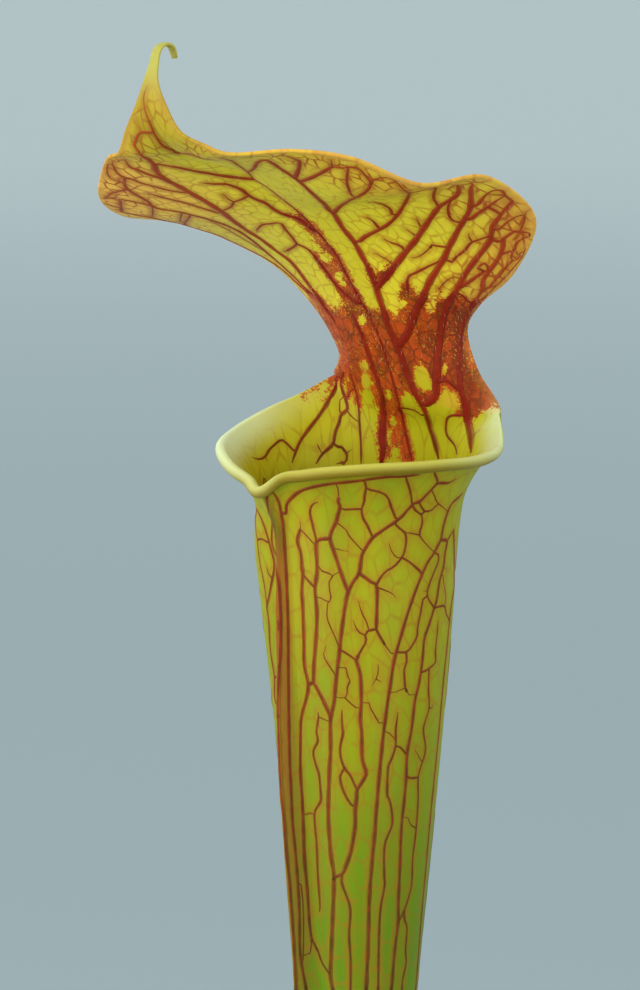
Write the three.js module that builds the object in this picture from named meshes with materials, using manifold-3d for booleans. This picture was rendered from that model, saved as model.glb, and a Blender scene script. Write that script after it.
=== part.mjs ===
// A potted trumpet pitcher plant: one tall open pitcher with its arched hood, a shorter open pitcher, two unopened
// young pitchers and three sword leaves, all rising from one rhizome crown in a soil-filled plastic nursery pot.
// Units are millimetres, +Z is up, and the origin is the centre of the pot's underside. The tall pitcher's hood
// faces -Y. Every piece is a closed solid of its own.
import * as THREE from "three";
import { mergeVertices } from "three/addons/utils/BufferGeometryUtils.js";
import Module from "manifold-3d";

const wasm = await Module();
wasm.setup();

// ---------------------------------------------------------------- driving dimensions
const clearance = 0.3; // between pieces that rest on or in each other

const pot = {
  height: 120,
  mouthRadius: 75, // outside the rim band
  footRadius: 53,
  wall: 2.2,
  floor: 3,
  bandHeight: 19,
  bandStep: 2.6, // how far the rim band stands out from the wall
  drainHoles: 8,
  drainRadius: 4.5,
  drainCircle: 38,
  sides: 48,
};

const soil = { edgeLevel: 105, moundRise: 4.5, roughness: 1.1, rings: 7, sides: 36 };

const crown = {
  centre: [0, -1, 102],
  size: [20, 16, 10], // half lengths of the knob
  oldEnd: [-42, 6, 100], // the older, horizontal part runs from the knob to here
  oldRadius: 8,
};

const rootList = [
  // start angle round the crown, splay outwards, length
  [10, 14, 46],
  [75, 22, 38],
  [140, 12, 52],
  [205, 24, 40],
  [265, 16, 48],
  [325, 26, 36],
];
const rootRadius = 1.5;

// The tall pitcher. Heights are measured from its rim level.
const mainRimLevel = 388;
const bladeThickness = 0.9;

// height, radius, how far the wing stands out there, and how far the cheek left of it swells
const tubeSections = [
  [-283, 4.6, 0, 0],
  [-262, 4.4, 1.2, 0],
  [-230, 4.7, 3.6, 0],
  [-195, 6.0, 5.4, 0],
  [-160, 8.1, 6.0, 0],
  [-130, 10.3, 5.8, 0],
  [-108, 12.0, 5.3, 0],
  [-83, 14.4, 5.2, 0],
  [-64, 16.2, 4.9, 0.1],
  [-44, 17.9, 3.9, 0.5],
  [-27, 19.2, 2.8, 1.1],
  [-15, 19.9, 1.8, 1.6],
];
const tubeFoot = tubeSections[0][0];
const tubeTop = tubeSections[tubeSections.length - 1][0]; // above this the mouth flares
const stemLean = 6; // the foot of the tube stands this far behind its mouth
const leanReach = 130; // this far above its foot the tube has come in under its mouth
const wingAngle = -12; // degrees from the hood's facing direction
const wingHalfThickness = 1.25;
const cheekAngle = -52;
const cheekWidth = 34; // degrees to where the swelling has fallen by two thirds

// The mouth: angle from the front in degrees, lip radius, lip height. The rear, past the last
// angle each way, belongs to the hood's column.
const mouthRim = [
  [-132, 28.6, 16.6],
  [-116, 28.0, 12.6],
  [-99, 28.0, 9.8],
  [-75, 28.2, 6.6],
  [-52, 28.2, 4.6],
  [-32, 27.0, 1.6],
  [-20, 26.0, -0.2],
  [-12, 26.4, -1.8],
  [-4, 25.2, 0.6],
  [12, 25.4, 2.4],
  [38, 26.0, 3.9],
  [70, 27.0, 4.4],
  [100, 28.2, 4.7],
  [118, 29.0, 6.3],
  [127, 29.0, 8.6],
  [132, 28.6, 11.2],
];
const mouthLevel = 2; // about the lip's middle height, where the rows of the tube end
const lipRadius = 1.25;
const ribHeight = 0.3;

// The hood, from the column's foot to where the hook starts: midrib y and z, the margins' x (out on
// either side) and y, the right and the left margin's z, and how far each half swells towards the mouth.
const hoodSections = [
  [14, 13.5, 21.5, 19.5, 11, 16.5, 1],
  [11, 19.5, 18, 16.5, 20, 20, 1.5],
  [8, 25.5, 16.5, 14.5, 27.5, 23, 2],
  [2, 34.5, 21.5, 12, 35, 32.5, 2.5],
  [-4, 41.5, 31, 10.5, 42, 41, 3],
  [-11, 48, 40, 5, 53.5, 46.5, 3.2],
  [-19, 54, 41, -12, 62.5, 51, 3],
  [-29.5, 59.5, 37.5, -30.5, 62, 53, 2.6],
  [-39, 64, 31.5, -44.5, 67.5, 57, 2.2],
  [-48, 66, 24, -53.5, 69, 61.5, 1.6],
  [-56, 68, 14.5, -61.5, 68.5, 67, 1],
  [-60, 69.5, 10.7, -63, 70, 68, 0.8],
  [-63.5, 72, 7, -65, 72, 72.5, 0.5],
  [-66.5, 77.5, 3.5, -66, 77.5, 77.5, 0.2],
];
// The hook at the hood's tip: y, z and half width.
const hookSections = [
  [-66, 82, 1.5],
  [-65, 85.5, 0.8],
  [-64, 88, 0.7],
  [-62, 89, 0.6],
  [-60, 88.5, 0.55],
  [-59, 86.5, 0.5],
];
for (const [y, z, halfWidth] of hookSections) hoodSections.push([y, z, halfWidth, y, z, z, 0]);
const columnHalfAngle = 48; // the column takes this much of the tube, each side of the back

// Where each leaf stands on the crown (x, y), which way it faces (degrees about +Z from -Y) and how it leans.
const leafPlaces = {
  main: { at: [0, stemLean], footRadius: 5.6 },
  second: { at: [-20, -8], turn: 150, lean: 14, scale: 0.47, footRadius: 2.9 },
};
const youngPitchers = [
  { name: "pitcher_young_tall", at: [12.5, -9], turn: 35, lean: 13, height: 128, width: 7.2, footRadius: 2.6 },
  { name: "pitcher_young_short", at: [-3, -13.5], turn: 340, lean: 15, height: 78, width: 5.2, footRadius: 2.3 },
];
const swordLeaves = [
  { name: "sword_leaf_right", at: [13.5, 1.5], turn: 80, lean: 17, height: 132, width: 6.5, footRadius: 2.3 },
  { name: "sword_leaf_left", at: [-14, 1], turn: 262, lean: 22, height: 112, width: 5.8, footRadius: 2.3 },
  { name: "sword_leaf_back", at: [7, 9.5], turn: 150, lean: 26, height: 96, width: 5.4, footRadius: 2.2 },
];
const leafFootLevel = 105;
const leanLift = 0.6; // a leaning foot is raised this much, so that its low side clears its socket
const socketPlay = 0.65; // round a leaf's foot, in the crown and in the soil
const socketTop = 130; // the sockets are cut out to above everything in the pot

// ---------------------------------------------------------------- small helpers
const radians = THREE.MathUtils.degToRad;
const smoothstep = (x) => THREE.MathUtils.smoothstep(x, 0, 1);
const lerp = THREE.MathUtils.lerp;

// Value of a cubic through (x, y) pairs with unequal steps; x has to rise.
function cubicThrough(xs, ys, x) {
  const last = xs.length - 1;
  let k = 0;
  while (k < last - 1 && x > xs[k + 1]) k++;
  const slope = (i) => {
    if (i === 0) return (ys[1] - ys[0]) / (xs[1] - xs[0]);
    if (i === last) return (ys[last] - ys[last - 1]) / (xs[last] - xs[last - 1]);
    const before = xs[i] - xs[i - 1];
    const after = xs[i + 1] - xs[i];
    const rise = (before * (ys[i + 1] - ys[i])) / after + (after * (ys[i] - ys[i - 1])) / before;
    return rise / (before + after);
  };
  const span = xs[k + 1] - xs[k];
  const t = (x - xs[k]) / span;
  const t2 = t * t;
  const t3 = t2 * t;
  return (
    (2 * t3 - 3 * t2 + 1) * ys[k] +
    (t3 - 2 * t2 + t) * span * slope(k) +
    (3 * t2 - 2 * t3) * ys[k + 1] +
    (t3 - t2) * span * slope(k + 1)
  );
}

const column = (table, i) => table.map((row) => row[i]);

// Repeatable noise between -1 and 1 from two numbers.
function ripple(a, b) {
  return (
    0.5 * Math.sin(a * 1.7 + b * 2.3 + 0.6) +
    0.3 * Math.sin(a * 3.9 - b * 3.1 + 2.1) +
    0.2 * Math.sin(a * 7.3 + b * 6.1)
  );
}

// A closed geometry from points and index triples.
function geometryOf(points, triangles) {
  const geometry = new THREE.BufferGeometry();
  const flat = new Float32Array(points.length * 3);
  points.forEach((p, i) => p.toArray(flat, i * 3));
  geometry.setAttribute("position", new THREE.BufferAttribute(flat, 3));
  geometry.setIndex(triangles.flat());
  return geometry;
}

// manifold-3d solid of a closed three.js geometry, and back again.
function solidOf(geometry, matrix = new THREE.Matrix4()) {
  const bare = geometry.clone().applyMatrix4(matrix);
  bare.deleteAttribute("normal");
  bare.deleteAttribute("uv");
  const merged = mergeVertices(bare, 1e-4);
  return new wasm.Manifold(
    new wasm.Mesh({
      numProp: 3,
      vertProperties: new Float32Array(merged.attributes.position.array),
      triVerts: new Uint32Array(merged.index.array),
    }),
  );
}
function geometryFrom(solid) {
  const mesh = solid.getMesh();
  const geometry = new THREE.BufferGeometry();
  geometry.setAttribute("position", new THREE.BufferAttribute(new Float32Array(mesh.vertProperties), 3));
  geometry.setIndex(new THREE.BufferAttribute(new Uint32Array(mesh.triVerts), 1));
  return geometry;
}
const moved = (x, y, z) => new THREE.Matrix4().makeTranslation(x, y, z);

// A solid of revolution about +Z from (radius, height) pairs.
function turnedSolid(profile, sides) {
  const lathe = new THREE.LatheGeometry(
    profile.map(([r, z]) => new THREE.Vector2(r, z)),
    sides,
  );
  lathe.rotateX(Math.PI / 2);
  return solidOf(lathe);
}

// An upright round peg at (x, y), to cut a plain hole with.
function uprightRound(x, y, low, high, radius, sides = 14) {
  const peg = new THREE.CylinderGeometry(radius, radius, high - low, sides);
  peg.rotateX(Math.PI / 2);
  return solidOf(peg, moved(x, y, (low + high) / 2));
}

// ---------------------------------------------------------------- the pitcher leaf
// Columns run round the tube from the column's left foot, past the wing at the front, to its right
// foot, and then across the back. Rows run up the tube and, at the back, on into the hood.
function pitcherSurface({ scale, tubeStretch, frontSteps, rearSteps }) {
  const edge = mouthRim[mouthRim.length - 1][0];
  const frontAngles = [];
  for (let i = -frontSteps; i <= frontSteps; i++) {
    const reach = i < 0 ? -edge - wingAngle : edge - wingAngle;
    frontAngles.push(wingAngle + reach * Math.abs(i / frontSteps) ** 1.4);
  }
  const across = [];
  for (let i = 1; i < rearSteps; i++) across.push(1 - (2 * i) / rearSteps);
  const angles = [...frontAngles, ...across.map((u) => 180 - u * columnHalfAngle)];
  const nearFoot = frontAngles.length - 1;
  const shareAcross = (c) => (c === 0 ? -1 : c === nearFoot ? 1 : c > nearFoot ? across[c - nearFoot - 1] : null);

  const hoodPoint = ([midY, midZ, marginX, marginY, rightZ, leftZ, bulge], u) => {
    const middle = new THREE.Vector3(0, midY, midZ);
    const margin = new THREE.Vector3(Math.sign(u) * marginX, marginY, u > 0 ? rightZ : leftZ);
    const point = middle.clone().lerp(margin, Math.abs(u));
    const mouthward = margin.sub(middle).cross(new THREE.Vector3(0, -0.55, 0.83)).normalize();
    if (mouthward.y > 0) mouthward.negate();
    return point.addScaledVector(mouthward, 4 * Math.abs(u) * (1 - Math.abs(u)) * bulge);
  };
  const rimAngles = column(mouthRim, 0);
  const rimPoint = (c) => {
    const u = shareAcross(c);
    if (u !== null) return hoodPoint(hoodSections[0], u);
    const a = radians(angles[c]);
    const r = cubicThrough(rimAngles, column(mouthRim, 1), angles[c]);
    const z = cubicThrough(rimAngles, column(mouthRim, 2), angles[c]);
    return new THREE.Vector3(r * Math.sin(a), -r * Math.cos(a), z);
  };

  // sections below the mouth blend from the round tube to the mouth's outline
  const flare = [
    // level, radius, share of the mouth's outline, drop below it, share of its height
    { level: -7.5, radius: 20.3, share: 0.18, drop: 8.4, rise: 0.75 },
    { level: -2.5, radius: 21.2, share: 0.5, drop: 3.6, rise: 0.93 },
  ];
  const knots = [...column(tubeSections, 0), ...flare.map((f) => f.level), mouthLevel];
  const rimKnot = knots.length - 1;
  hoodSections.slice(1).forEach((s, i) => {
    const before = hoodSections[i];
    knots.push(knots[knots.length - 1] + Math.hypot(s[0] - before[0], s[1] - before[1]));
  });
  const lines = angles.map((degrees, c) => {
    const a = radians(degrees);
    const mouth = rimPoint(c);
    const points = tubeSections.map(([level, radius, , cheek]) => {
      const back = stemLean * (1 - smoothstep((level - tubeFoot) / leanReach));
      const r = radius + cheek * Math.exp(-(((degrees - cheekAngle) / cheekWidth) ** 2));
      return new THREE.Vector3(r * Math.sin(a), back - r * Math.cos(a), level);
    });
    flare.forEach((f) => {
      points.push(
        new THREE.Vector3(
          lerp(f.radius * Math.sin(a), mouth.x, f.share),
          lerp(-f.radius * Math.cos(a), mouth.y, f.share),
          mouth.z * f.rise - f.drop,
        ),
      );
    });
    points.push(mouth);
    const u = shareAcross(c);
    if (u !== null) hoodSections.slice(1).forEach((s) => points.push(hoodPoint(s, u)));
    const own = knots.slice(0, points.length);
    return ["x", "y", "z"].map((axis) => [own, points.map((p) => p[axis])]);
  });
  const onLine = (c, t) => {
    const p = new THREE.Vector3(...lines[c].map(([levels, values]) => cubicThrough(levels, values, t)));
    if (t < tubeTop) p.z = tubeTop + (p.z - tubeTop) * tubeStretch;
    return p.multiplyScalar(scale);
  };

  const count = angles.length;
  const hoodOrder = [];
  for (let c = nearFoot; c < count; c++) hoodOrder.push(c);
  hoodOrder.push(0);
  const normalAt = (c, t) => {
    let left = (c + count - 1) % count;
    let right = (c + 1) % count;
    if (t > knots[rimKnot] + 0.01) {
      const place = hoodOrder.indexOf(c);
      left = hoodOrder[Math.max(0, place - 1)];
      right = hoodOrder[Math.min(hoodOrder.length - 1, place + 1)];
    }
    const round = onLine(right, t).sub(onLine(left, t));
    const top = t > knots[rimKnot] - 0.5 && shareAcross(c) === null ? t : t + 0.5;
    const rise = onLine(c, Math.min(top, knots[knots.length - 1])).sub(onLine(c, t - 0.5));
    return round.cross(rise).normalize();
  };
  return { angles, count, nearFoot, hoodOrder, knots, rimKnot, onLine, normalAt, shareAcross };
}

// The closed solid: an outer and an inner skin, joined by a bead that is a rolled lip round the
// mouth and a plain rounded edge along the hood.
function pitcherGeometry(options) {
  const { scale, tubeRows, hoodRows, beadSteps, cavityFloor, thickness } = options;
  const surface = pitcherSurface(options);
  const { angles, count, nearFoot, hoodOrder, knots, rimKnot, onLine, normalAt, shareAcross } = surface;
  const rim = knots[rimKnot];
  const tip = knots[knots.length - 1];
  const foot = knots[0];
  const half = thickness / 2;
  const points = [];
  const triangles = [];
  const add = (p) => points.push(p) - 1;
  const quad = (a, b, c, d) => triangles.push([a, b, c], [a, c, d]);

  const ends = mouthRim[mouthRim.length - 1][0];
  const lipShare = (c) => (shareAcross(c) === null ? smoothstep((ends - Math.abs(angles[c])) / 30) : 0);
  const lipSize = (c) => lerp(half, lipRadius * Math.sqrt(scale), lipShare(c));

  // rows crowd towards the mouth, where the tube flares
  const tubeLevels = (from) => {
    const levels = [];
    for (let i = 0; i <= tubeRows; i++) levels.push(rim - (rim - from) * (1 - i / tubeRows) ** 1.6);
    return levels;
  };
  const hoodLevels = [];
  for (let i = 1; i <= hoodRows; i++) hoodLevels.push(rim + (tip - rim) * (i / hoodRows) ** 0.93);

  // the wing runs down the front of the tube and dies away under the lip
  const wingStand = (c, t) => {
    if (shareAcross(c) !== null || t > rim) return 0;
    const [levels, radii, stands] = [0, 1, 2].map((i) => column(tubeSections, i));
    const level = Math.min(t, tubeTop);
    const stand = cubicThrough(levels, stands, level) * (1 - 0.9 * smoothstep((t - tubeTop) / (rim - tubeTop)));
    const off = radians(angles[c] - wingAngle) * cubicThrough(levels, radii, level);
    return Math.max(0, stand) * Math.exp(-((off / wingHalfThickness) ** 2)) * scale;
  };
  // the main veins stand up as low ribs, on every second column
  const ribStand = (c, t) => {
    const fade = smoothstep((t - foot - 40) / 60) * smoothstep((tip - 25 - t) / 20);
    const besideRim = Math.min(1, Math.abs(t - rim) / 8);
    return c % 2 === 0 ? ribHeight * fade * besideRim * Math.sqrt(scale) : 0;
  };

  // skins: [level index][column] of point indexes
  const skin = (from, side) => {
    const rows = tubeLevels(from).map((level, i, all) =>
      angles.map((_, c) => {
        const last = i === all.length - 1;
        const t = side > 0 && last ? rim - 1.1 * lipRadius * lipShare(c) : level;
        const normal = normalAt(c, t);
        const offset = half + (side > 0 ? ribStand(c, t) : 0);
        const p = onLine(c, t).addScaledVector(normal, side * offset);
        if (side > 0) {
          const away = new THREE.Vector3(normal.x, normal.y, 0).normalize();
          p.addScaledVector(away, wingStand(c, t));
        }
        return add(p);
      }),
    );
    const hood = hoodLevels.map((t) =>
      hoodOrder.map((c) => {
        const lastColumn = c === 0 || c === nearFoot;
        const thin = half * lerp(1, 0.75, smoothstep((t - rim) / (tip - rim)));
        const offset = thin + (lastColumn ? 0 : ribStand(c, t));
        return add(onLine(c, t).addScaledVector(normalAt(c, t), side * offset));
      }),
    );
    const flip = (a, b, c, d) => (side > 0 ? quad(a, b, c, d) : quad(a, d, c, b));
    for (let r = 0; r + 1 < rows.length; r++)
      for (let c = 0; c < count; c++) {
        const next = (c + 1) % count;
        flip(rows[r][c], rows[r][next], rows[r + 1][next], rows[r + 1][c]);
      }
    let below = hoodOrder.map((c) => rows[rows.length - 1][c]);
    hood.forEach((row) => {
      for (let k = 0; k + 1 < row.length; k++) flip(below[k], below[k + 1], row[k + 1], row[k]);
      below = row;
    });
    // the skin's foot is closed with a fan
    const middle = new THREE.Vector3();
    rows[0].forEach((i) => middle.add(points[i]));
    const centre = add(middle.divideScalar(count));
    for (let c = 0; c < count; c++) {
      const next = (c + 1) % count;
      triangles.push(side > 0 ? [centre, rows[0][next], rows[0][c]] : [centre, rows[0][c], rows[0][next]]);
    }
    return { rows, hood };
  };
  const outer = skin(foot, 1);
  const inner = skin(cavityFloor, -1);

  // the open edge, once round: the mouth from left to right, then up the right margin, over the tip and down
  const loop = [];
  const lastRow = tubeRows;
  for (let c = 0; c <= nearFoot; c++) loop.push({ o: outer.rows[lastRow][c], i: inner.rows[lastRow][c], c, t: rim });
  const right = 0;
  const left = hoodOrder.length - 1;
  hoodLevels.forEach((t, r) => loop.push({ o: outer.hood[r][right], i: inner.hood[r][right], c: nearFoot, t }));
  const top = hoodLevels.length - 1;
  for (let k = 1; k < left; k++) loop.push({ o: outer.hood[top][k], i: inner.hood[top][k], c: hoodOrder[k], t: tip });
  for (let r = top; r >= 0; r--)
    loop.push({ o: outer.hood[r][left], i: inner.hood[r][left], c: 0, t: hoodLevels[r] });

  const beads = loop.map(({ o, i, c, t }) => {
    const outward = points[i].clone().sub(points[o]);
    const toInner = normalAt(c, t).negate();
    let away;
    if (t <= rim) away = onLine(c, t).sub(onLine(c, t - 0.6)).normalize();
    else if (t >= tip) away = onLine(c, t).sub(onLine(c, t - 0.6)).normalize();
    else {
      const inside = c === 0 ? hoodOrder[left - 1] : hoodOrder[1];
      away = onLine(c, t).sub(onLine(inside, t)).normalize();
    }
    const atRim = t <= rim;
    const size = atRim ? lipSize(c) : outward.length() / 2;
    const share = atRim ? lipShare(c) : 0;
    const centre = points[i].clone().addScaledVector(toInner, -size);
    const sweep = radians(lerp(180, 285, share));
    const chain = [i];
    for (let k = 1; k < beadSteps; k++) {
      const angle = (sweep * k) / beadSteps;
      chain.push(
        add(
          centre
            .clone()
            .addScaledVector(toInner, size * Math.cos(angle))
            .addScaledVector(away, size * Math.sin(angle)),
        ),
      );
    }
    chain.push(o);
    return chain;
  });
  beads.forEach((chain, s) => {
    const next = beads[(s + 1) % beads.length];
    for (let k = 0; k < beadSteps; k++) quad(chain[k], chain[k + 1], next[k + 1], next[k]);
  });
  return geometryOf(points, triangles);
}

// ---------------------------------------------------------------- unopened pitchers and sword leaves
// A solid through oval rings: each ring is { centre, wide, deep, turn }.
function ringedSolid(rings, sides) {
  const points = [];
  const triangles = [];
  rings.forEach(({ centre, wide, deep, turn }) => {
    for (let i = 0; i < sides; i++) {
      const a = (i / sides) * 2 * Math.PI;
      const x = wide * Math.cos(a);
      const y = deep * Math.sin(a);
      const [c, s] = [Math.cos(turn), Math.sin(turn)];
      points.push(new THREE.Vector3(centre.x + x * c - y * s, centre.y + x * s + y * c, centre.z));
    }
  });
  for (let r = 0; r + 1 < rings.length; r++)
    for (let i = 0; i < sides; i++) {
      const [a, b] = [r * sides + i, r * sides + ((i + 1) % sides)];
      triangles.push([a, b, b + sides], [a, b + sides, a + sides]);
    }
  for (const [ring, up] of [
    [0, false],
    [rings.length - 1, true],
  ]) {
    const centre = points.push(rings[ring].centre.clone()) - 1;
    for (let i = 0; i < sides; i++) {
      const [a, b] = [ring * sides + i, ring * sides + ((i + 1) % sides)];
      triangles.push(up ? [centre, a, b] : [centre, b, a]);
    }
  }
  return geometryOf(points, triangles);
}

// share of the height, share of the width, share of the depth
const youngOutline = [
  [0.0, 0.36, 0.36],
  [0.12, 0.37, 0.34],
  [0.3, 0.46, 0.36],
  [0.5, 0.62, 0.42],
  [0.68, 0.82, 0.5],
  [0.8, 0.97, 0.56],
  [0.865, 1.0, 0.56],
  [0.9, 0.93, 0.5],
  [0.94, 0.8, 0.42],
  [0.97, 0.55, 0.3],
  [0.988, 0.3, 0.2],
  [1.0, 0.09, 0.09],
];
const swordOutline = [
  [0.0, 0.36, 0.36],
  [0.07, 0.4, 0.32],
  [0.2, 0.62, 0.24],
  [0.36, 0.86, 0.2],
  [0.52, 1.0, 0.18],
  [0.66, 0.96, 0.17],
  [0.8, 0.76, 0.15],
  [0.9, 0.48, 0.13],
  [0.96, 0.26, 0.11],
  [1.0, 0.1, 0.09],
];

// Leans from an upright foot and bends outwards, away from the crown.
function leafGeometry({ outline, height, width, lean, turn, bend, rows, sides }) {
  const [levels, wides, deeps] = [0, 1, 2].map((i) => column(outline, i));
  const rings = [];
  for (let r = 0; r <= rows; r++) {
    const h = 1 - (1 - r / rows) ** 1.25;
    const out = Math.tan(radians(lean)) * height * (0.72 * smoothstep(h * 1.15) * h + bend * h * h);
    rings.push({
      centre: new THREE.Vector3(out * Math.sin(radians(turn)), -out * Math.cos(radians(turn)), height * h),
      wide: width * cubicThrough(levels, wides, h),
      deep: width * cubicThrough(levels, deeps, h),
      turn: radians(turn),
    });
  }
  return ringedSolid(rings, sides);
}

// ---------------------------------------------------------------- crown, soil and pot
const footPlaces = [leafPlaces.main, leafPlaces.second, ...youngPitchers, ...swordLeaves];

function crownSolid(grow) {
  const knob = new THREE.SphereGeometry(1, 22, 12);
  knob.rotateX(Math.PI / 2);
  knob.scale(crown.size[0] + grow, crown.size[1] + grow, crown.size[2] + grow);
  let body = solidOf(knob, moved(...crown.centre));
  const start = new THREE.Vector3(...crown.centre);
  const end = new THREE.Vector3(...crown.oldEnd);
  const old = new THREE.CapsuleGeometry(crown.oldRadius + grow, start.distanceTo(end), 5, 14);
  const along = end.clone().sub(start).normalize();
  const turn = new THREE.Quaternion().setFromUnitVectors(new THREE.Vector3(0, 1, 0), along);
  const place = new THREE.Matrix4().compose(start.clone().lerp(end, 0.5), turn, new THREE.Vector3(1, 1, 1));
  body = body.add(solidOf(old, place));
  for (const [round, splay, length] of rootList) {
    const out = radians(round);
    const tilt = radians(splay);
    const way = new THREE.Vector3(Math.sin(tilt) * Math.cos(out), Math.sin(tilt) * Math.sin(out), -Math.cos(tilt));
    const root = new THREE.CylinderGeometry(rootRadius + grow, 0.7 * rootRadius + grow, length + grow, 8);
    const head = new THREE.Vector3(
      crown.centre[0] + 10 * Math.cos(out),
      crown.centre[1] + 7 * Math.sin(out),
      crown.centre[2] - 4,
    );
    const lie = new THREE.Quaternion().setFromUnitVectors(new THREE.Vector3(0, -1, 0), way);
    const middle = head.addScaledVector(way, (length + grow) / 2);
    body = body.add(solidOf(root, new THREE.Matrix4().compose(middle, lie, new THREE.Vector3(1, 1, 1))));
  }
  return body;
}

function crownGeometry() {
  let body = crownSolid(0);
  for (const { at, footRadius } of footPlaces)
    body = body.subtract(uprightRound(...at, leafFootLevel - clearance, socketTop, footRadius + socketPlay));
  return geometryFrom(body);
}

const wallSlope = (pot.mouthRadius - pot.bandStep - pot.footRadius) / (pot.height - pot.bandHeight);
const outsideRadius = (z) => pot.footRadius + wallSlope * z;
const insideRadius = (z) => outsideRadius(z) - pot.wall;

function soilGeometry() {
  const bottom = pot.floor + clearance;
  const points = [];
  const triangles = [];
  const sideRings = [bottom, 60, soil.edgeLevel];
  const top = (x, y) => {
    const share = Math.min(1, Math.hypot(x, y) / insideRadius(soil.edgeLevel));
    const rough = ripple(x / 7, y / 7) * soil.roughness * (1 - share ** 8);
    return soil.edgeLevel + soil.moundRise * (1 - share * share) + rough;
  };
  const ringAt = (radius, level) => {
    const ring = [];
    for (let i = 0; i < soil.sides; i++) {
      const a = (i / soil.sides) * 2 * Math.PI;
      const [x, y] = [radius * Math.cos(a), radius * Math.sin(a)];
      ring.push(points.push(new THREE.Vector3(x, y, level === null ? top(x, y) : level)) - 1);
    }
    return ring;
  };
  const rings = sideRings.map((z) => ringAt(insideRadius(z) - clearance, z));
  const edge = insideRadius(soil.edgeLevel) - clearance;
  for (let k = soil.rings - 1; k >= 1; k--) rings.push(ringAt((edge * k) / soil.rings, null));
  for (let r = 0; r + 1 < rings.length; r++)
    for (let i = 0; i < soil.sides; i++) {
      const next = (i + 1) % soil.sides;
      const [below, above] = [rings[r], rings[r + 1]];
      triangles.push([below[i], below[next], above[next]], [below[i], above[next], above[i]]);
    }
  const under = points.push(new THREE.Vector3(0, 0, bottom)) - 1;
  const above = points.push(new THREE.Vector3(0, 0, top(0, 0))) - 1;
  for (let i = 0; i < soil.sides; i++) {
    const next = (i + 1) % soil.sides;
    const last = rings[rings.length - 1];
    triangles.push([under, rings[0][next], rings[0][i]], [above, last[i], last[next]]);
  }
  let body = solidOf(geometryOf(points, triangles)).subtract(crownSolid(clearance));
  for (const { at, footRadius } of footPlaces)
    body = body.subtract(uprightRound(...at, leafFootLevel - clearance, socketTop, footRadius + socketPlay));
  const bodies = body.decompose().sort((a, b) => b.volume() - a.volume());
  return geometryFrom(bodies[0]);
}

function potGeometry() {
  const { height, mouthRadius, wall, floor, bandHeight, bandStep } = pot;
  const bandFoot = height - bandHeight;
  const lipRound = 1.2;
  const profile = [
    [0, 0],
    [outsideRadius(0) - 1.5, 0],
    [outsideRadius(1.5), 1.5],
    [outsideRadius(bandFoot), bandFoot],
    [mouthRadius - 0.8, bandFoot + 0.4],
    [mouthRadius - 0.3, bandFoot + 1.4],
    [mouthRadius, height - lipRound],
    [mouthRadius - lipRound, height],
    [mouthRadius - wall - 0.3, height],
    [mouthRadius - wall - 0.9, height - 0.8],
    [insideRadius(bandFoot) + bandStep - 0.6, bandFoot + 2.6],
    [insideRadius(bandFoot), bandFoot],
    [insideRadius(floor), floor],
    [0, floor],
  ];
  let body = turnedSolid(profile, pot.sides);
  for (let i = 0; i < pot.drainHoles; i++) {
    const a = ((i + 0.5) / pot.drainHoles) * 2 * Math.PI;
    const [x, y] = [pot.drainCircle * Math.cos(a), pot.drainCircle * Math.sin(a)];
    body = body.subtract(uprightRound(x, y, -2, floor + 2, pot.drainRadius, 16));
  }
  return geometryFrom(body);
}

// ---------------------------------------------------------------- assembly
const colours = {
  plastic: { color: 0x8f4a33, roughness: 0.55, metalness: 0 },
  soil: { color: 0x3a2a1c, roughness: 0.95, metalness: 0 },
  rhizome: { color: 0x6b4a2c, roughness: 0.85, metalness: 0 },
  pitcher: { color: 0xa8ad2a, roughness: 0.42, metalness: 0 },
  youngLeaf: { color: 0x9fbf55, roughness: 0.45, metalness: 0 },
  swordLeaf: { color: 0x5f8a2e, roughness: 0.5, metalness: 0 },
};

const plant = new THREE.Group();
function place(name, geometry, finish) {
  const mesh = new THREE.Mesh(geometry, new THREE.MeshStandardMaterial(colours[finish]));
  mesh.name = name;
  plant.add(mesh);
  return mesh;
}

place("pot", potGeometry(), "plastic");
place("soil", soilGeometry(), "soil");
place("rhizome", crownGeometry(), "rhizome");

const main = {
  scale: 1,
  tubeStretch: 1,
  frontSteps: 16,
  rearSteps: 16,
  tubeRows: 18,
  hoodRows: 30,
  beadSteps: 5,
  cavityFloor: -245,
  thickness: bladeThickness,
};
place("pitcher_main", pitcherGeometry(main), "pitcher").position.z = mainRimLevel;

const second = {
  scale: leafPlaces.second.scale,
  tubeStretch: 0.74,
  frontSteps: 8,
  rearSteps: 10,
  tubeRows: 10,
  hoodRows: 15,
  beadSteps: 4,
  cavityFloor: -230,
  thickness: 0.8,
};
const secondMesh = place("pitcher_second", pitcherGeometry(second), "pitcher");
{
  const { at, turn, lean, scale } = leafPlaces.second;
  const footLevel = tubeTop + (tubeFoot - tubeTop) * second.tubeStretch;
  const foot = new THREE.Vector3(0, stemLean, footLevel).multiplyScalar(scale);
  secondMesh.rotation.set(radians(-lean), 0, radians(turn), "ZXY");
  secondMesh.position.set(...at, leafFootLevel + leanLift).sub(foot.applyEuler(secondMesh.rotation));
}

for (const leaf of youngPitchers)
  place(
    leaf.name,
    leafGeometry({ ...leaf, outline: youngOutline, bend: 0.2, rows: 14, sides: 12 }),
    "youngLeaf",
  ).position.set(...leaf.at, leafFootLevel);
for (const leaf of swordLeaves)
  place(
    leaf.name,
    leafGeometry({ ...leaf, outline: swordOutline, bend: 0.5, rows: 12, sides: 10 }),
    "swordLeaf",
  ).position.set(...leaf.at, leafFootLevel);

export default plant;
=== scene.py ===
import math
import random

import bmesh
import bpy
import numpy as np
from mathutils import Matrix, Vector, noise
from mathutils.bvhtree import BVHTree
from mathutils.geometry import delaunay_2d_cdt
from mathutils.interpolate import poly_3d_calc
from mathutils.kdtree import KDTree


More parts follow.
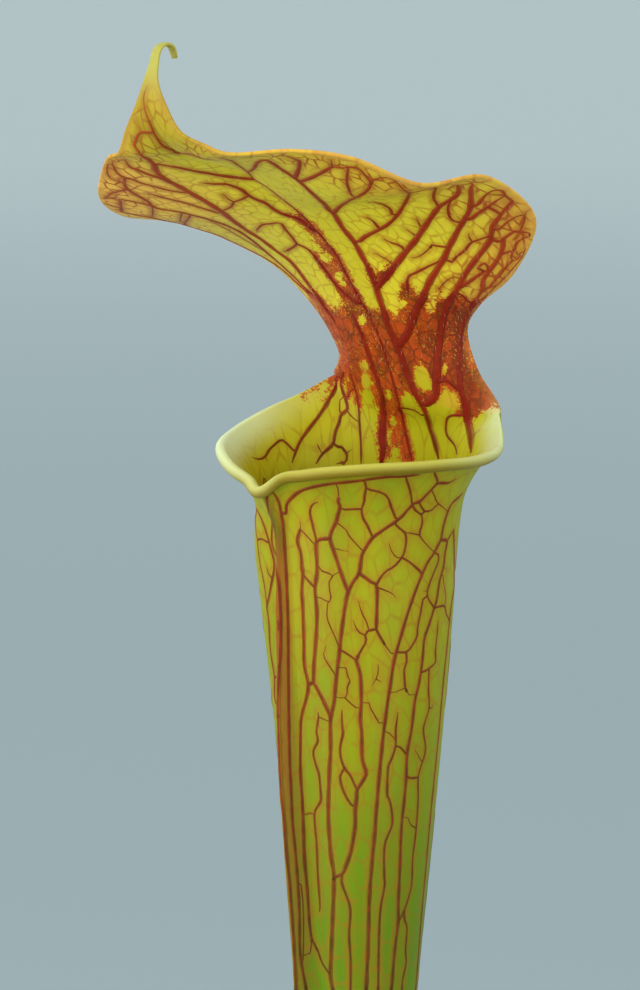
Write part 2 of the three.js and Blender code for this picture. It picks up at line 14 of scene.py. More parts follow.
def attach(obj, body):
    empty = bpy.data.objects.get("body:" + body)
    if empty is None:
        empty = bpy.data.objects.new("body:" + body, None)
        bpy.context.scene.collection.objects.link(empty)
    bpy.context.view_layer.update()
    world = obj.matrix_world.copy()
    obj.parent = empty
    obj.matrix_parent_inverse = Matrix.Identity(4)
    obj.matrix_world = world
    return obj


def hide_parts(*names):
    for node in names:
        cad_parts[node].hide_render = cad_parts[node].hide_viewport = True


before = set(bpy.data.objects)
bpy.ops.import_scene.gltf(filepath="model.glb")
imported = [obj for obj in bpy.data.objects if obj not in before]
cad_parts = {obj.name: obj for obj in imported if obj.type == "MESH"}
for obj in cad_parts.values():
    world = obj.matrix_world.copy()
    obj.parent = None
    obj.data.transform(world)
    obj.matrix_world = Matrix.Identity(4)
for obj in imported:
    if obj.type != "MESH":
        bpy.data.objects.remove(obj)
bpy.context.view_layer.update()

# A potted trumpet pitcher plant. Leaf sizes are in millimetres, as on a gardener's rule, and become metres when a
# mesh is made. The tall pitcher's hood faces -Y and its heights count from its rim level.
mm = 0.001

# Camera, at the photograph's angle

photoView = {
    "azimuth": 38, "elevation": 8, "distance": 0.8,
    "width": 640, "height": 990, "pixelSize": 0.2076 * mm,  # at the plant's distance
    "mouthPixel": (360, 470), "mouthLevel": 388 * mm,
}


def addObject(name, data):
    made = bpy.data.objects.new(name, data)
    bpy.context.collection.objects.link(made)
    return made


def cameraAxes():
    turn, rise = math.radians(photoView["azimuth"]), math.radians(photoView["elevation"])
    right = Vector((math.cos(turn), math.sin(turn), 0))
    back = Vector((math.sin(turn) * math.cos(rise), -math.cos(turn) * math.cos(rise), math.sin(rise)))
    return right, back, back.cross(right)


def makeCamera():
    right, back, up = cameraAxes()
    size = photoView["pixelSize"]
    offX = (photoView["width"] / 2 - photoView["mouthPixel"][0]) * size
    offY = (photoView["mouthPixel"][1] - photoView["height"] / 2) * size
    target = Vector((0, 0, photoView["mouthLevel"])) + right * offX + up * offY
    lens = bpy.data.cameras.new("photo_camera")
    lens.sensor_width = 36
    lens.lens = lens.sensor_width * photoView["distance"] / (photoView["height"] * size)
    lens.clip_end = 100
    camera = addObject("photo_camera", lens)
    turned = Matrix((right, up, back)).transposed().to_4x4()
    camera.matrix_world = Matrix.Translation(target + back * photoView["distance"]) @ turned
    bpy.context.scene.camera = camera
    return camera.matrix_world.translation.copy(), target


cameraPoint, cameraTarget = makeCamera()


def photoRay(x, y):  # from the camera through a pixel of the photograph
    right, _, up = cameraAxes()
    size = photoView["pixelSize"]
    through = cameraTarget + right * ((x - photoView["width"] / 2) * size) + up * ((photoView["height"] / 2 - y) * size)
    return (through - cameraPoint).normalized()


# Small helpers


def paint(red, green, blue):  # 0 to 255, as a colour picker shows them
    return tuple(((c / 255 + 0.055) / 1.055) ** 2.4 if c > 10 else c / 255 / 12.92 for c in (red, green, blue)) + (1,)


def paints(**table):
    return {name: paint(*colour) for name, colour in table.items()}


def smooth(x):
    x = np.clip(x, 0, 1)
    return x * x * (3 - 2 * x)


def cubicThrough(levels, values, at):  # a smooth curve through values at unequal levels
    levels, values, at = np.asarray(levels, float), np.asarray(values, float), np.asarray(at, float)
    steps = np.diff(levels).reshape(-1, *[1] * (values.ndim - 1))
    secants = np.diff(values, axis=0) / steps
    slopes = np.empty_like(values)
    slopes[0], slopes[-1] = secants[0], secants[-1]
    slopes[1:-1] = (steps[:-1] * secants[1:] + steps[1:] * secants[:-1]) / (steps[:-1] + steps[1:])
    k = np.clip(np.searchsorted(levels, at) - 1, 0, len(levels) - 2)
    here, after = ((k,), (k + 1,)) if at.ndim < 2 else ((k, np.arange(at.shape[1])), (k + 1, np.arange(at.shape[1])))
    shape = at.shape + (1,) * (values.ndim - at.ndim)
    span = np.diff(levels)[k].reshape(shape)
    t = (at - levels[k]).reshape(shape) / span
    t2, t3 = t * t, t * t * t
    return (
        (2 * t3 - 3 * t2 + 1) * values[here] + (t3 - 2 * t2 + t) * span * slopes[here]
        + (3 * t2 - 2 * t3) * values[after] + (t3 - t2) * span * slopes[after]
    )


def pairs(flat):  # x, y, x, y and so on as points
    return list(zip(flat[::2], flat[1::2]))


def unit(vectors):
    return vectors / np.maximum(np.linalg.norm(vectors, axis=-1, keepdims=True), 1e-9)


def meshFrom(name, body):  # takes the bmesh up
    mesh = bpy.data.meshes.new(name)
    body.to_mesh(mesh)
    body.free()
    return mesh


def settle(piece):  # turns a piece's modifiers into plain mesh
    graph = bpy.context.evaluated_depsgraph_get()
    mesh = bpy.data.meshes.new_from_object(piece.evaluated_get(graph), preserve_all_data_layers=True, depsgraph=graph)
    piece.modifiers.clear()
    piece.data = mesh


def makePiece(name, points, faces, material, attributes=None):
    mesh = bpy.data.meshes.new(name)
    mesh.from_pydata([tuple(p) for p in points], [], faces)
    for label, values in (attributes or {}).items():
        layer = mesh.attributes.new(label, "FLOAT", "POINT")
        layer.data.foreach_set("value", np.asarray(values, np.float32))
    mesh.materials.append(material)
    mesh.polygons.foreach_set("use_smooth", [True] * len(mesh.polygons))
    mesh.update()
    piece = addObject(name, mesh)
    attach(piece, "root")
    return piece


# Shader helpers


class Wiring:  # writes nodes into one of Blender's node trees
    def __init__(self, tree):
        self.tree = tree

    def join(self, made, inputs):  # links what is a socket, sets what is a plain value
        for key, value in inputs.items():
            if isinstance(value, bpy.types.NodeSocket):
                self.tree.links.new(value, made.inputs[key])
            else:
                made.inputs[key].default_value = value

    def add(self, kind, inputs=None, **settings):
        made = self.tree.nodes.new(kind)
        for key, value in settings.items():
            setattr(made, key, value)
        self.join(made, inputs or {})
        return made

    def surface(self, inputs):  # a material's own shader
        self.join(self.tree.nodes["Principled BSDF"], inputs)

    def mix(self, factor, first, second):
        return self.add("ShaderNodeMix", {0: factor, 6: first, 7: second}, data_type="RGBA").outputs[2]

    def mixValue(self, factor, first, second):
        return self.add("ShaderNodeMix", {0: factor, 2: first, 3: second}, data_type="FLOAT").outputs[0]

    def calc(self, operation, first, second=0.0, third=0.0, clamp=False):
        inputs = {0: first, 1: second, 2: third}
        return self.add("ShaderNodeMath", inputs, operation=operation, use_clamp=clamp).outputs[0]

    def times(self, first, second):
        return self.calc("MULTIPLY", first, second)

    def plus(self, first, second, clamp=False):
        return self.calc("ADD", first, second, clamp=clamp)

    def larger(self, first, second):
        return self.calc("MAXIMUM", first, second)

    def without(self, share):
        return self.calc("SUBTRACT", 1.0, share)

    def spared(self, share, mask, amount):  # a share, less where a mask is strong
        return self.times(share, self.without(self.times(mask, amount)))

    def ramp(self, value, low, high, toLow=0.0, toHigh=1.0):
        inputs = {"Value": value, "From Min": low, "From Max": high, "To Min": toLow, "To Max": toHigh}
        return self.add("ShaderNodeMapRange", inputs, interpolation_type="SMOOTHSTEP").outputs[0]

    def attribute(self, name):
        return self.add("ShaderNodeAttribute", attribute_name=name).outputs["Fac"]

    def stretched(self, point, scale):
        return self.add("ShaderNodeMapping", {"Vector": point, "Scale": scale}).outputs[0]

    def point(self, scale=(1, 1, 1)):
        return self.stretched(self.add("ShaderNodeTexCoord").outputs["Object"], scale)

    def noise(self, point, scale, detail=3.0, rough=0.55):
        inputs = {"Vector": point, "Scale": scale, "Detail": detail, "Roughness": rough}
        return self.add("ShaderNodeTexNoise", inputs).outputs[0]

    def bump(self, height, strength, distance):
        inputs = {"Height": height, "Strength": strength, "Distance": distance}
        return self.add("ShaderNodeBump", inputs).outputs[0]


def newMaterial(name):
    material = bpy.data.materials.new(name)
    material.use_nodes = True
    return material, Wiring(material.node_tree)


grainForm = {"poreScale": 2600, "furrowScale": 420, "furrowLength": 0.08, "furrowDepth": 0.7, "poreDepth": 0.3}


def makeGrainGroup():  # fine pores and long faint furrows of a waxy leaf
    group = bpy.data.node_groups.new("leafGrain", "ShaderNodeTree")
    group.interface.new_socket("Point", in_out="INPUT", socket_type="NodeSocketVector")
    for name in ("Height", "Shade"):
        group.interface.new_socket(name, in_out="OUTPUT", socket_type="NodeSocketFloat")
    tree, form = Wiring(group), grainForm
    point = tree.add("NodeGroupInput").outputs["Point"]
    pores = tree.noise(point, form["poreScale"], 2.0)
    furrows = tree.noise(tree.stretched(point, (1, 1, form["furrowLength"])), form["furrowScale"], 2.0)
    height = tree.calc("MULTIPLY_ADD", furrows, form["furrowDepth"], tree.times(pores, form["poreDepth"]))
    tree.add("NodeGroupOutput", {"Height": height, "Shade": tree.ramp(furrows, 0.3, 0.7)})
    return group


grainGroup = makeGrainGroup()


def leafGrain(tree, point):
    grain = tree.add("ShaderNodeGroup", {"Point": point}, node_tree=grainGroup)
    return grain.outputs["Height"], grain.outputs["Shade"]


# The pitcher leaf's form, the same as the solid model's

tubeSections = [  # height, radius, how far the wing stands out, how far the left cheek swells
    (-283, 4.6, 0, 0), (-262, 4.4, 1.2, 0), (-230, 4.7, 3.6, 0), (-195, 6.0, 5.4, 0), (-160, 8.1, 6.0, 0),
    (-130, 10.3, 5.8, 0), (-108, 12.0, 5.3, 0), (-83, 14.4, 5.2, 0), (-64, 16.2, 4.9, 0.1), (-44, 17.9, 3.9, 0.5),
    (-27, 19.2, 2.8, 1.1), (-15, 19.9, 1.8, 1.6),
]
flareSections = [  # height, radius, share of the mouth's outline, drop below it, share of its height
    (-7.5, 20.3, 0.18, 8.4, 0.75), (-2.5, 21.2, 0.5, 3.6, 0.93),
]
mouthRim = [  # degrees from the front, lip radius, lip height
    (-132, 28.6, 16.6), (-116, 28.0, 12.6), (-99, 28.0, 9.8), (-75, 28.2, 6.6), (-52, 28.2, 4.6), (-32, 27.0, 1.6),
    (-20, 26.0, -0.2), (-12, 26.4, -1.8), (-4, 25.2, 0.6), (12, 25.4, 2.4), (38, 26.0, 3.9), (70, 27.0, 4.4),
    (100, 28.2, 4.7), (118, 29.0, 6.3), (127, 29.0, 8.6), (132, 28.6, 11.2),
]
hoodSections = [  # midrib y, z; margin x, y; right margin's z, left margin's z; swelling of each half
    (14, 13.5, 21.5, 19.5, 11, 16.5, 1), (11, 19.5, 18, 16.5, 20, 20, 1.5), (8, 25.5, 16.5, 14.5, 27.5, 23, 2),
    (2, 34.5, 21.5, 12, 35, 32.5, 2.5), (-4, 41.5, 31, 10.5, 42, 41, 3), (-11, 48, 40, 5, 53.5, 46.5, 3.2),
    (-19, 54, 41, -12, 62.5, 51, 3), (-29.5, 59.5, 37.5, -30.5, 62, 53, 2.6), (-39, 64, 31.5, -44.5, 67.5, 57, 2.2),
    (-48, 66, 24, -53.5, 69, 61.5, 1.6), (-56, 68, 14.5, -61.5, 68.5, 67, 1), (-60, 69.5, 10.7, -63, 70, 68, 0.8),
    (-63.5, 72, 7, -65, 72, 72.5, 0.5), (-66.5, 77.5, 3.5, -66, 77.5, 77.5, 0.2),
]
hookSections = [  # y, z, half width
    (-66, 82, 1.5), (-65, 85.5, 0.8), (-64, 88, 0.7), (-62, 89, 0.6), (-60, 88.5, 0.55), (-59, 86.5, 0.5),
]
hoodSections += [(y, z, w, y, z, z, 0) for y, z, w in hookSections]
lipPaleness = [  # degrees from the front, how cream the lip is
    (-132, 0.12), (-112, 0.3), (-92, 0.75), (-60, 1), (-34, 0.6), (-16, 0.3), (2, 0.06), (70, 0.06), (98, 0.35),
    (116, 0.85), (140, 0.8), (180, 0), (228, 0.12),
]
firstTurn, lastTurn = -132, 228  # degrees at the left foot of the column, where a leaf's columns start and end
leafForm = {
    "tubeFoot": -283, "tubeTop": -15, "mouthLevel": 2, "stemLean": 6, "leanReach": 130, "columnHalfAngle": 48,
    "wingAngle": -12, "wingHalfThickness": 1.1, "cheekAngle": -52, "cheekWidth": 34, "lipRadius": 1.25,
    "leastVein": 0.36, "wingStain": 1.3,
}


def wrapped(turn):  # the same turn, from firstTurn up to lastTurn
    return (turn - firstTurn) % 360 + firstTurn


def hoodStation(section, shares):  # points across the hood, shares run from -1 at the left margin to 1 at the right
    midY, midZ, marginX, marginY, rightZ, leftZ, swell = section
    middle = np.array([0, midY, midZ], float)
    margin = np.stack([
        np.sign(shares) * marginX, np.full_like(shares, marginY), np.where(shares > 0, rightZ, leftZ),
    ], -1)
    points = middle + (margin - middle) * np.abs(shares)[:, None]
    mouthward = unit(np.cross(margin - middle, np.array([0, -0.55, 0.83])))
    mouthward *= np.where(mouthward[:, 1] > 0, -1, 1)[:, None]
    return points + mouthward * (4 * np.abs(shares) * (1 - np.abs(shares)) * swell)[:, None]


def rimPoints(degrees):
    rim = np.array(mouthRim, float)
    radius, height = cubicThrough(rim[:, 0], rim[:, 1:], np.clip(degrees, firstTurn, -firstTurn)).T
    turn = np.radians(degrees)
    return np.stack([radius * np.sin(turn), -radius * np.cos(turn), height], -1)


levelKnots = [s[0] for s in tubeSections] + [s[0] for s in flareSections] + [leafForm["mouthLevel"]]
mouthKnot = len(levelKnots) - 1
for before, after in zip(hoodSections, hoodSections[1:]):
    levelKnots.append(levelKnots[-1] + math.hypot(after[0] - before[0], after[1] - before[1]))
mouthLevel, tipLevel = levelKnots[mouthKnot], levelKnots[-1]


def leafSurface(leaf):  # columns round the leaf, and a function that gives their points at any levels
    form = leafForm
    steps = np.arange(-leaf["frontSteps"], leaf["frontSteps"] + 1) / leaf["frontSteps"]
    edge = mouthRim[-1][0]
    reach = np.where(steps < 0, -edge - form["wingAngle"], edge - form["wingAngle"])
    frontAngles = form["wingAngle"] + reach * np.abs(steps) ** leaf["wingCrowding"]
    across = 1 - 2 * np.arange(1, leaf["rearSteps"]) / leaf["rearSteps"]
    degrees = np.concatenate([frontAngles, 180 - across * form["columnHalfAngle"]])
    shares = np.concatenate([np.full(len(frontAngles), np.nan), across])
    shares[0], shares[len(frontAngles) - 1] = -1, 1
    rear = ~np.isnan(shares)
    turn = np.radians(degrees)
    sections = []
    for level, radius, _, cheek in tubeSections:
        back = form["stemLean"] * (1 - smooth((level - form["tubeFoot"]) / form["leanReach"]))
        r = radius + cheek * np.exp(-(((degrees - form["cheekAngle"]) / form["cheekWidth"]) ** 2))
        sections.append(np.stack([r * np.sin(turn), back - r * np.cos(turn), np.full_like(turn, level)], -1))
    mouth = rimPoints(degrees)
    mouth[rear] = hoodStation(hoodSections[0], shares[rear])
    for level, radius, share, drop, rise in flareSections:
        ring = np.stack([radius * np.sin(turn), -radius * np.cos(turn), mouth[:, 2]], -1)
        point = ring + (mouth - ring) * share
        point[:, 2] = mouth[:, 2] * rise - drop
        sections.append(point)
    sections.append(mouth)
    allTube = np.array(sections)
    allRear = np.concatenate([allTube[:, rear], [hoodStation(s, shares[rear]) for s in hoodSections[1:]]])

    def pointsAt(levels):  # levels as (row, column); above the mouth only the rear columns mean anything
        points = cubicThrough(levelKnots[:mouthKnot + 1], allTube, np.minimum(levels, mouthLevel))
        points[:, rear] = cubicThrough(levelKnots, allRear, np.minimum(levels[:, rear], tipLevel))
        stretched = form["tubeTop"] + (points[..., 2] - form["tubeTop"]) * leaf["tubeStretch"]
        points[..., 2] = np.where(levels < form["tubeTop"], stretched, points[..., 2])
        return points * leaf["scale"]

    return degrees, shares, rear, pointsAt


def wingStand(degrees, shares, levels, scale):  # (level, column)
    tube = np.array(tubeSections, float)
    top = leafForm["tubeTop"]
    radius, stand, _ = cubicThrough(tube[:, 0], tube[:, 1:], np.minimum(levels, top)).T
    stand = np.maximum(stand * (1 - 0.9 * smooth((levels - top) / (mouthLevel - top))), 0)
    off = np.radians(degrees - leafForm["wingAngle"])[None] * radius[:, None]
    bump = np.exp(-((off / leafForm["wingHalfThickness"]) ** 2)) * stand[:, None] * scale
    bump[:, ~np.isnan(shares)] = 0
    bump[levels > mouthLevel] = 0
    return bump


def leafGrids(leaf):  # outer and inner skins as grids of points, with what the colours need
    degrees, shares, rear, pointsAt = leafSurface(leaf)
    count = len(degrees)
    form = leafForm
    tubeShare = 1 - (1 - np.arange(leaf["tubeRows"] + 1) / leaf["tubeRows"]) ** leaf["rimCrowding"]
    hoodShare = np.arange(1, leaf["hoodRows"] + 1) / leaf["hoodRows"]
    tubeLevels = form["tubeFoot"] + (mouthLevel - form["tubeFoot"]) * tubeShare
    hoodLevels = mouthLevel + (tipLevel - mouthLevel) * hoodShare
    levels = np.concatenate([tubeLevels, hoodLevels])
    edge = mouthRim[-1][0]
    lipShare = np.where(rear, 0, smooth((edge - np.abs(degrees)) / 30))
    half = leaf["thickness"] / 2

    def skin(side):
        shift = 1.1 * form["lipRadius"] * lipShare if side > 0 else np.zeros(count)  # hidden by the lip
        lowered = levels[:, None] - shift * smooth((levels[:, None] - mouthLevel + 8) / 8)
        middle, above, below = (pointsAt(lowered + delta) for delta in (0, 0.5, -0.5))
        around = np.roll(middle, -1, 1) - np.roll(middle, 1, 1)
        hoodRows = slice(len(tubeLevels), None)
        firstRear, lastRear = count - leaf["rearSteps"], 0
        around[hoodRows, firstRear] = (middle[:, firstRear + 1] - middle[:, firstRear])[hoodRows]
        around[hoodRows, lastRear] = (middle[:, lastRear] - middle[:, count - 1])[hoodRows]
        normals = unit(np.cross(around, above - below))
        thin = half * (1 - 0.25 * smooth((levels - mouthLevel) / (tipLevel - mouthLevel)))
        points = middle + normals * (side * thin)[:, None, None]
        if side > 0:
            away = normals.copy()
            away[..., 2] = 0
            points = points + unit(away) * wingStand(degrees, shares, levels, leaf["scale"])[..., None]
        return points, normals * side

    outer, outerNormals = skin(1)
    inner, innerNormals = skin(-1)
    return {
        "degrees": degrees, "shares": shares, "rear": rear, "levels": levels, "tubeRows": len(tubeLevels) - 1,
        "outer": outer, "inner": inner, "outerNormals": outerNormals, "innerNormals": innerNormals,
        "lipShare": lipShare, "leaf": leaf,
    }


def leafMesh(grids):  # one closed mesh: both skins, the closed feet, and the bead round the open edge
    leaf, levels, top = grids["leaf"], grids["levels"], grids["tubeRows"]
    rows, count = grids["outer"].shape[:2]
    nearFoot = count - leaf["rearSteps"]
    hoodOrder = list(range(nearFoot, count)) + [0]
    cavity = int(np.searchsorted(levels, leaf["cavityFloor"]))
    points, faces, params = [], [], []  # params: row, column, side, roll round the edge

    def addGrid(side, firstRow):
        grid = grids["outer" if side > 0 else "inner"]
        index = {}
        for row in range(firstRow, rows):
            for column in range(count) if row <= top else hoodOrder:
                index[row, column] = len(points)
                points.append(grid[row, column])
                params.append((row, column, side, 0))
        for row in range(firstRow, rows - 1):
            order = list(range(count)) + [0] if row < top else hoodOrder
            for a, b in zip(order, order[1:]):
                quad = (index[row, a], index[row, b], index[row + 1, b], index[row + 1, a])
                faces.append(quad if side > 0 else quad[::-1])
        centre = len(points)
        points.append(grid[firstRow].mean(axis=0))
        params.append((firstRow, 0, side, 0))
        for a in range(count):
            fan = (centre, index[firstRow, (a + 1) % count], index[firstRow, a])
            faces.append(fan if side > 0 else fan[::-1])
        return index

    outer, inner = addGrid(1, 0), addGrid(-1, cavity)
    last = rows - 1
    loop = [(top, column) for column in range(nearFoot + 1)] + [(row, nearFoot) for row in range(top + 1, rows)]
    loop += [(last, column) for column in hoodOrder[1:-1]] + [(row, 0) for row in range(last, top, -1)]
    steps = leaf["beadSteps"]
    chains = []
    for row, column in loop:
        i, o = points[inner[row, column]], points[outer[row, column]]
        toInner = grids["innerNormals"][row, column]
        size = np.linalg.norm(i - o) / 2
        share = 0
        if row == top:
            share = grids["lipShare"][column]
            size = leaf["thickness"] / 2 * (1 - share) + leafForm["lipRadius"] * math.sqrt(leaf["scale"]) * share
            away = i - grids["inner"][row - 1, column]
        elif row == last:
            away = i - grids["inner"][row - 1, column]
        else:
            beside = hoodOrder[1] if column == nearFoot else hoodOrder[-2]
            away = i - grids["inner"][row, beside]
        away = unit(away - toInner * np.dot(away, toInner))
        middle = i - toInner * size
        sweep = math.radians(180 + 105 * share)
        chain = [inner[row, column]]
        for k in range(1, steps):
            turn = sweep * k / steps
            chain.append(len(points))
            points.append(middle + toInner * (size * math.cos(turn)) + away * (size * math.sin(turn)))
            params.append((row, column, -1 + 2 * k / steps, share))
        chains.append(chain + [outer[row, column]])
    for a, b in zip(chains, chains[1:] + chains[:1]):
        for k in range(steps):
            faces.append((a[k], a[k + 1], b[k + 1], b[k]))
    return np.array(points), faces, np.array(params, float)


offColumn, farInside = 9, 30  # the share away from the column, and a gap in mm that is far from any margin


def leafMasks(grids, row, column, side, roll):  # what the colours need, at any places on the leaf
    levels, count = grids["levels"], len(grids["degrees"])
    level = np.interp(row, np.arange(len(levels)), levels)
    low = np.floor(column).astype(int) % count
    high, part = (low + 1) % count, column - np.floor(column)
    shares = np.where(np.isnan(grids["shares"]), offColumn, grids["shares"])
    outside = (shares[low] == offColumn) | (shares[high] == offColumn)
    # the left foot's column counts as -1 from both sides
    share = np.where(outside, offColumn, shares[low] * (1 - part) + shares[high] * part)
    share = np.where(part < 1e-6, shares[low], share)
    degrees = grids["degrees"]
    turn = np.where(high == 0, degrees[low] + part * (lastTurn - degrees[low]),
                    degrees[low] * (1 - part) + degrees[high] * part)
    turn = np.where(low == 0, firstTurn + part * (degrees[1] - firstTurn), turn)
    rearward = share != offColumn
    inHood = level > mouthLevel
    halfWidth = np.interp(level, levelKnots[mouthKnot:], [s[2] for s in hoodSections])
    marginGap = np.where(rearward & inHood, (1 - np.abs(share)) * halfWidth, farInside)
    atLip = smooth((level - mouthLevel + 6) / 6) * np.where(rearward, smooth((np.abs(share) - 0.82) / 0.18), 1)
    lip = np.where(inHood, smooth((mouthLevel + 5 - level) / 5) * smooth((np.abs(share) - 0.74) / 0.26) * rearward,
                   atLip)
    red, bright = (sampleGrid(grids[zone][..., None], row, column)[:, 0] for zone in ("red", "bright"))
    form = leafForm
    wing = np.exp(-((np.radians(turn - form["wingAngle"]) * 18 / form["wingStain"]) ** 2)) * smooth((6 - level) / 14)
    radius = np.interp(level, [s[0] for s in tubeSections], [s[1] for s in tubeSections])
    across = np.where(rearward, share * np.maximum(halfWidth, 5), np.radians(turn) * radius)
    return {
        "level": level, "across": across, "lip": lip * np.where(side < 0, 1, 0.25), "roll": roll, "red": red,
        "bright": bright, "gap": marginGap, "wing": wing * (side > 0) * ~rearward, "side": side,
        "hood": smooth((level - 6) / 22) * inHood,
        "pale": np.interp(turn, *zip(*lipPaleness)) * np.where(rearward, smooth((np.abs(share) - 0.6) / 0.4), 1),
    }


def sampleGrid(grid, row, column):  # values between the grid's rows and columns; the columns run on round the leaf
    count = grid.shape[1]
    row = np.clip(row, 0, grid.shape[0] - 1.001)
    r, c = np.floor(row).astype(int), np.floor(column).astype(int)
    fr, fc = (row - r)[:, None], (column - c)[:, None]
    left, right = c % count, (c + 1) % count
    low = grid[r, left] * (1 - fc) + grid[r, right] * fc
    high = grid[r + 1, left] * (1 - fc) + grid[r + 1, right] * fc
    return low * (1 - fr) + high * fr


def wovenNormals(grids, side):  # normals of a skin as it lies, wing and all
    grid = grids["outer" if side > 0 else "inner"]
    count = grid.shape[1]
    first = count - grids["leaf"]["rearSteps"]
    hood = slice(grids["tubeRows"] + 1, None)
    around = np.roll(grid, -1, 1) - np.roll(grid, 1, 1)
    around[hood, first] = (grid[:, first + 1] - grid[:, first])[hood]
    around[hood, 0] = (grid[:, 0] - grid[:, count - 1])[hood]
    return unit(np.cross(around, np.gradient(grid, axis=0))) * side


# Veins: low round ribbons on both faces of a leaf, along paths of (row, column) on its grid

veinForm = {
    "step": 0.9, "rise": 0.2, "joinReach": 1.9, "rearGap": 4.5, "taper": (0.3, 0.6, 0.85),
    "profile": (  # across, height, colour
        (-0.72, -0.1, 0), (-0.46, 0.2, 0.55), (-0.24, 0.8, 1), (0, 1, 1), (0.24, 0.8, 1), (0.46, 0.2, 0.55),
        (0.72, -0.1, 0), (0, -0.5, 0),
    ),
}


def smoothPath(grids, knots, step):  # even steps along a smooth line through (row, column) knots
    knots = np.array(knots, float)
    if len(knots) > 2:
        fine = cubicThrough(np.arange(len(knots)), knots, np.linspace(0, len(knots) - 1, 12 * (len(knots) - 1) + 1))
    else:
        fine = knots[0] + (knots[1] - knots[0]) * np.linspace(0, 1, 13)[:, None]
    points = sampleGrid(grids["outer"], fine[:, 0], fine[:, 1])
    along = np.concatenate([[0], np.cumsum(np.linalg.norm(np.diff(points, axis=0), axis=1))])
    if along[-1] < 0.4:
        return None
    at = np.linspace(0, along[-1], max(3, int(along[-1] / step) + 1))
    return np.stack([np.interp(at, along, fine[:, 0]), np.interp(at, along, fine[:, 1])], -1)


def veinMesh(grids, veins, side):  # veins: (path, width at each point of it, strength)
    face = grids["outer" if side > 0 else "inner"]
    normals = wovenNormals(grids, side)
    profile = np.array(veinForm["profile"])
    points, faces, masks, params = [], [], [], []
    for path, widths, strength in veins:
        count = len(path)
        middle = sampleGrid(face, path[:, 0], path[:, 1])
        up = unit(sampleGrid(normals, path[:, 0], path[:, 1]))
        sideways = unit(np.cross(np.gradient(middle, axis=0), up))
        width = widths * (1 + 0.1 * np.sin(np.arange(count) * 0.9 + path[0, 1] * 3))
        rise = veinForm["rise"] * width
        first = len(points)
        for across, height, mask in profile:
            points.extend(middle + sideways * (across * width)[:, None] + up * (height * rise)[:, None])
            masks.extend([mask * strength] * count)
            params.extend(path)
        n = len(profile)
        for j in range(n):
            a, b = first + j * count, first + (j + 1) % n * count
            faces.extend((a + i, b + i, b + i + 1, a + i + 1) for i in range(count - 1))
        faces.append(tuple(first + j * count for j in range(n))[::-1])
        faces.append(tuple(first + j * count + count - 1 for j in range(n)))
    return np.array(points), faces, np.array(masks), np.array(params)


def nearbyTree(grids, veins):  # a search tree of every point of the veins, with the vein and the place that each is at
    spots = [(v, place) for v, vein in enumerate(veins) for place in vein[0]]
    at = sampleGrid(grids["outer"], np.array([p[0] for _, p in spots]), np.array([p[1] for _, p in spots]))
    tree = KDTree(len(spots))
    for k, point in enumerate(at):
        tree.insert(point, k)
    tree.balance()
    return tree, spots


def joinVeins(grids, veins):  # runs each loose end into the vein beside it, and thins the ends that meet none
    tree, spots = nearbyTree(grids, veins)
    count = grids["outer"].shape[1]
    joined = []
    for v, (path, widths, strength) in enumerate(veins):
        ends = sampleGrid(grids["outer"], path[[0, -1], 0], path[[0, -1], 1])
        for end, here in zip((0, -1), ends):
            onward = Vector(here) - Vector(sampleGrid(grids["outer"], *path[[1 if end == 0 else -2]].T)[0])
            near = [f for f in tree.find_range(here, veinForm["joinReach"])
                    if spots[f[1]][0] != v and (f[0] - Vector(here)).dot(onward) > -0.1 * onward.length * f[2]]
            if near:
                row, column = spots[min(near, key=lambda f: f[2])[1]][1]
                column += count * round((path[end, 1] - column) / count)
                extra = np.array([[row, column]])
                path = np.concatenate([extra, path] if end == 0 else [path, extra])
                widths = np.concatenate([widths[:1], widths] if end == 0 else [widths, widths[-1:]])
            else:
                taper = np.array(veinForm["taper"])[:len(widths) // 2]
                widths = widths.copy()
                if end == 0:
                    widths[:len(taper)] *= taper
                elif len(taper):
                    widths[-len(taper):] *= taper[::-1]
        joined.append((path, widths, strength))
    return joined


def voronoiEdges(seeds):  # the edges of the cells round flat points
    _, _, triangles, *_ = delaunay_2d_cdt([Vector(s) for s in seeds], [], [], 0, 1e-6)
    centres, owner = [], {}
    for t, (i, j, k) in enumerate(triangles):
        (ax, ay), (bx, by), (cx, cy) = seeds[i], seeds[j], seeds[k]
        d = 2 * (ax * (by - cy) + bx * (cy - ay) + cx * (ay - by)) or 1e-9
        a2, b2, c2 = ax * ax + ay * ay, bx * bx + by * by, cx * cx + cy * cy
        centres.append(((a2 * (by - cy) + b2 * (cy - ay) + c2 * (ay - by)) / d,
                        (a2 * (cx - bx) + b2 * (ax - cx) + c2 * (bx - ax)) / d))
        for edge in ((i, j), (j, k), (k, i)):
            owner.setdefault(tuple(sorted(edge)), []).append(t)
    return [(centres[p[0]], centres[p[1]]) for p in owner.values() if len(p) == 2]


def levelToRow(grids, level):
    return np.interp(level, grids["levels"], np.arange(len(grids["levels"])))


def columnTurns(grids):
    return np.concatenate([grids["degrees"], [lastTurn]])


def degreesToColumn(grids, degrees):
    turns = columnTurns(grids)
    return np.interp(degrees, turns, np.arange(len(turns)))


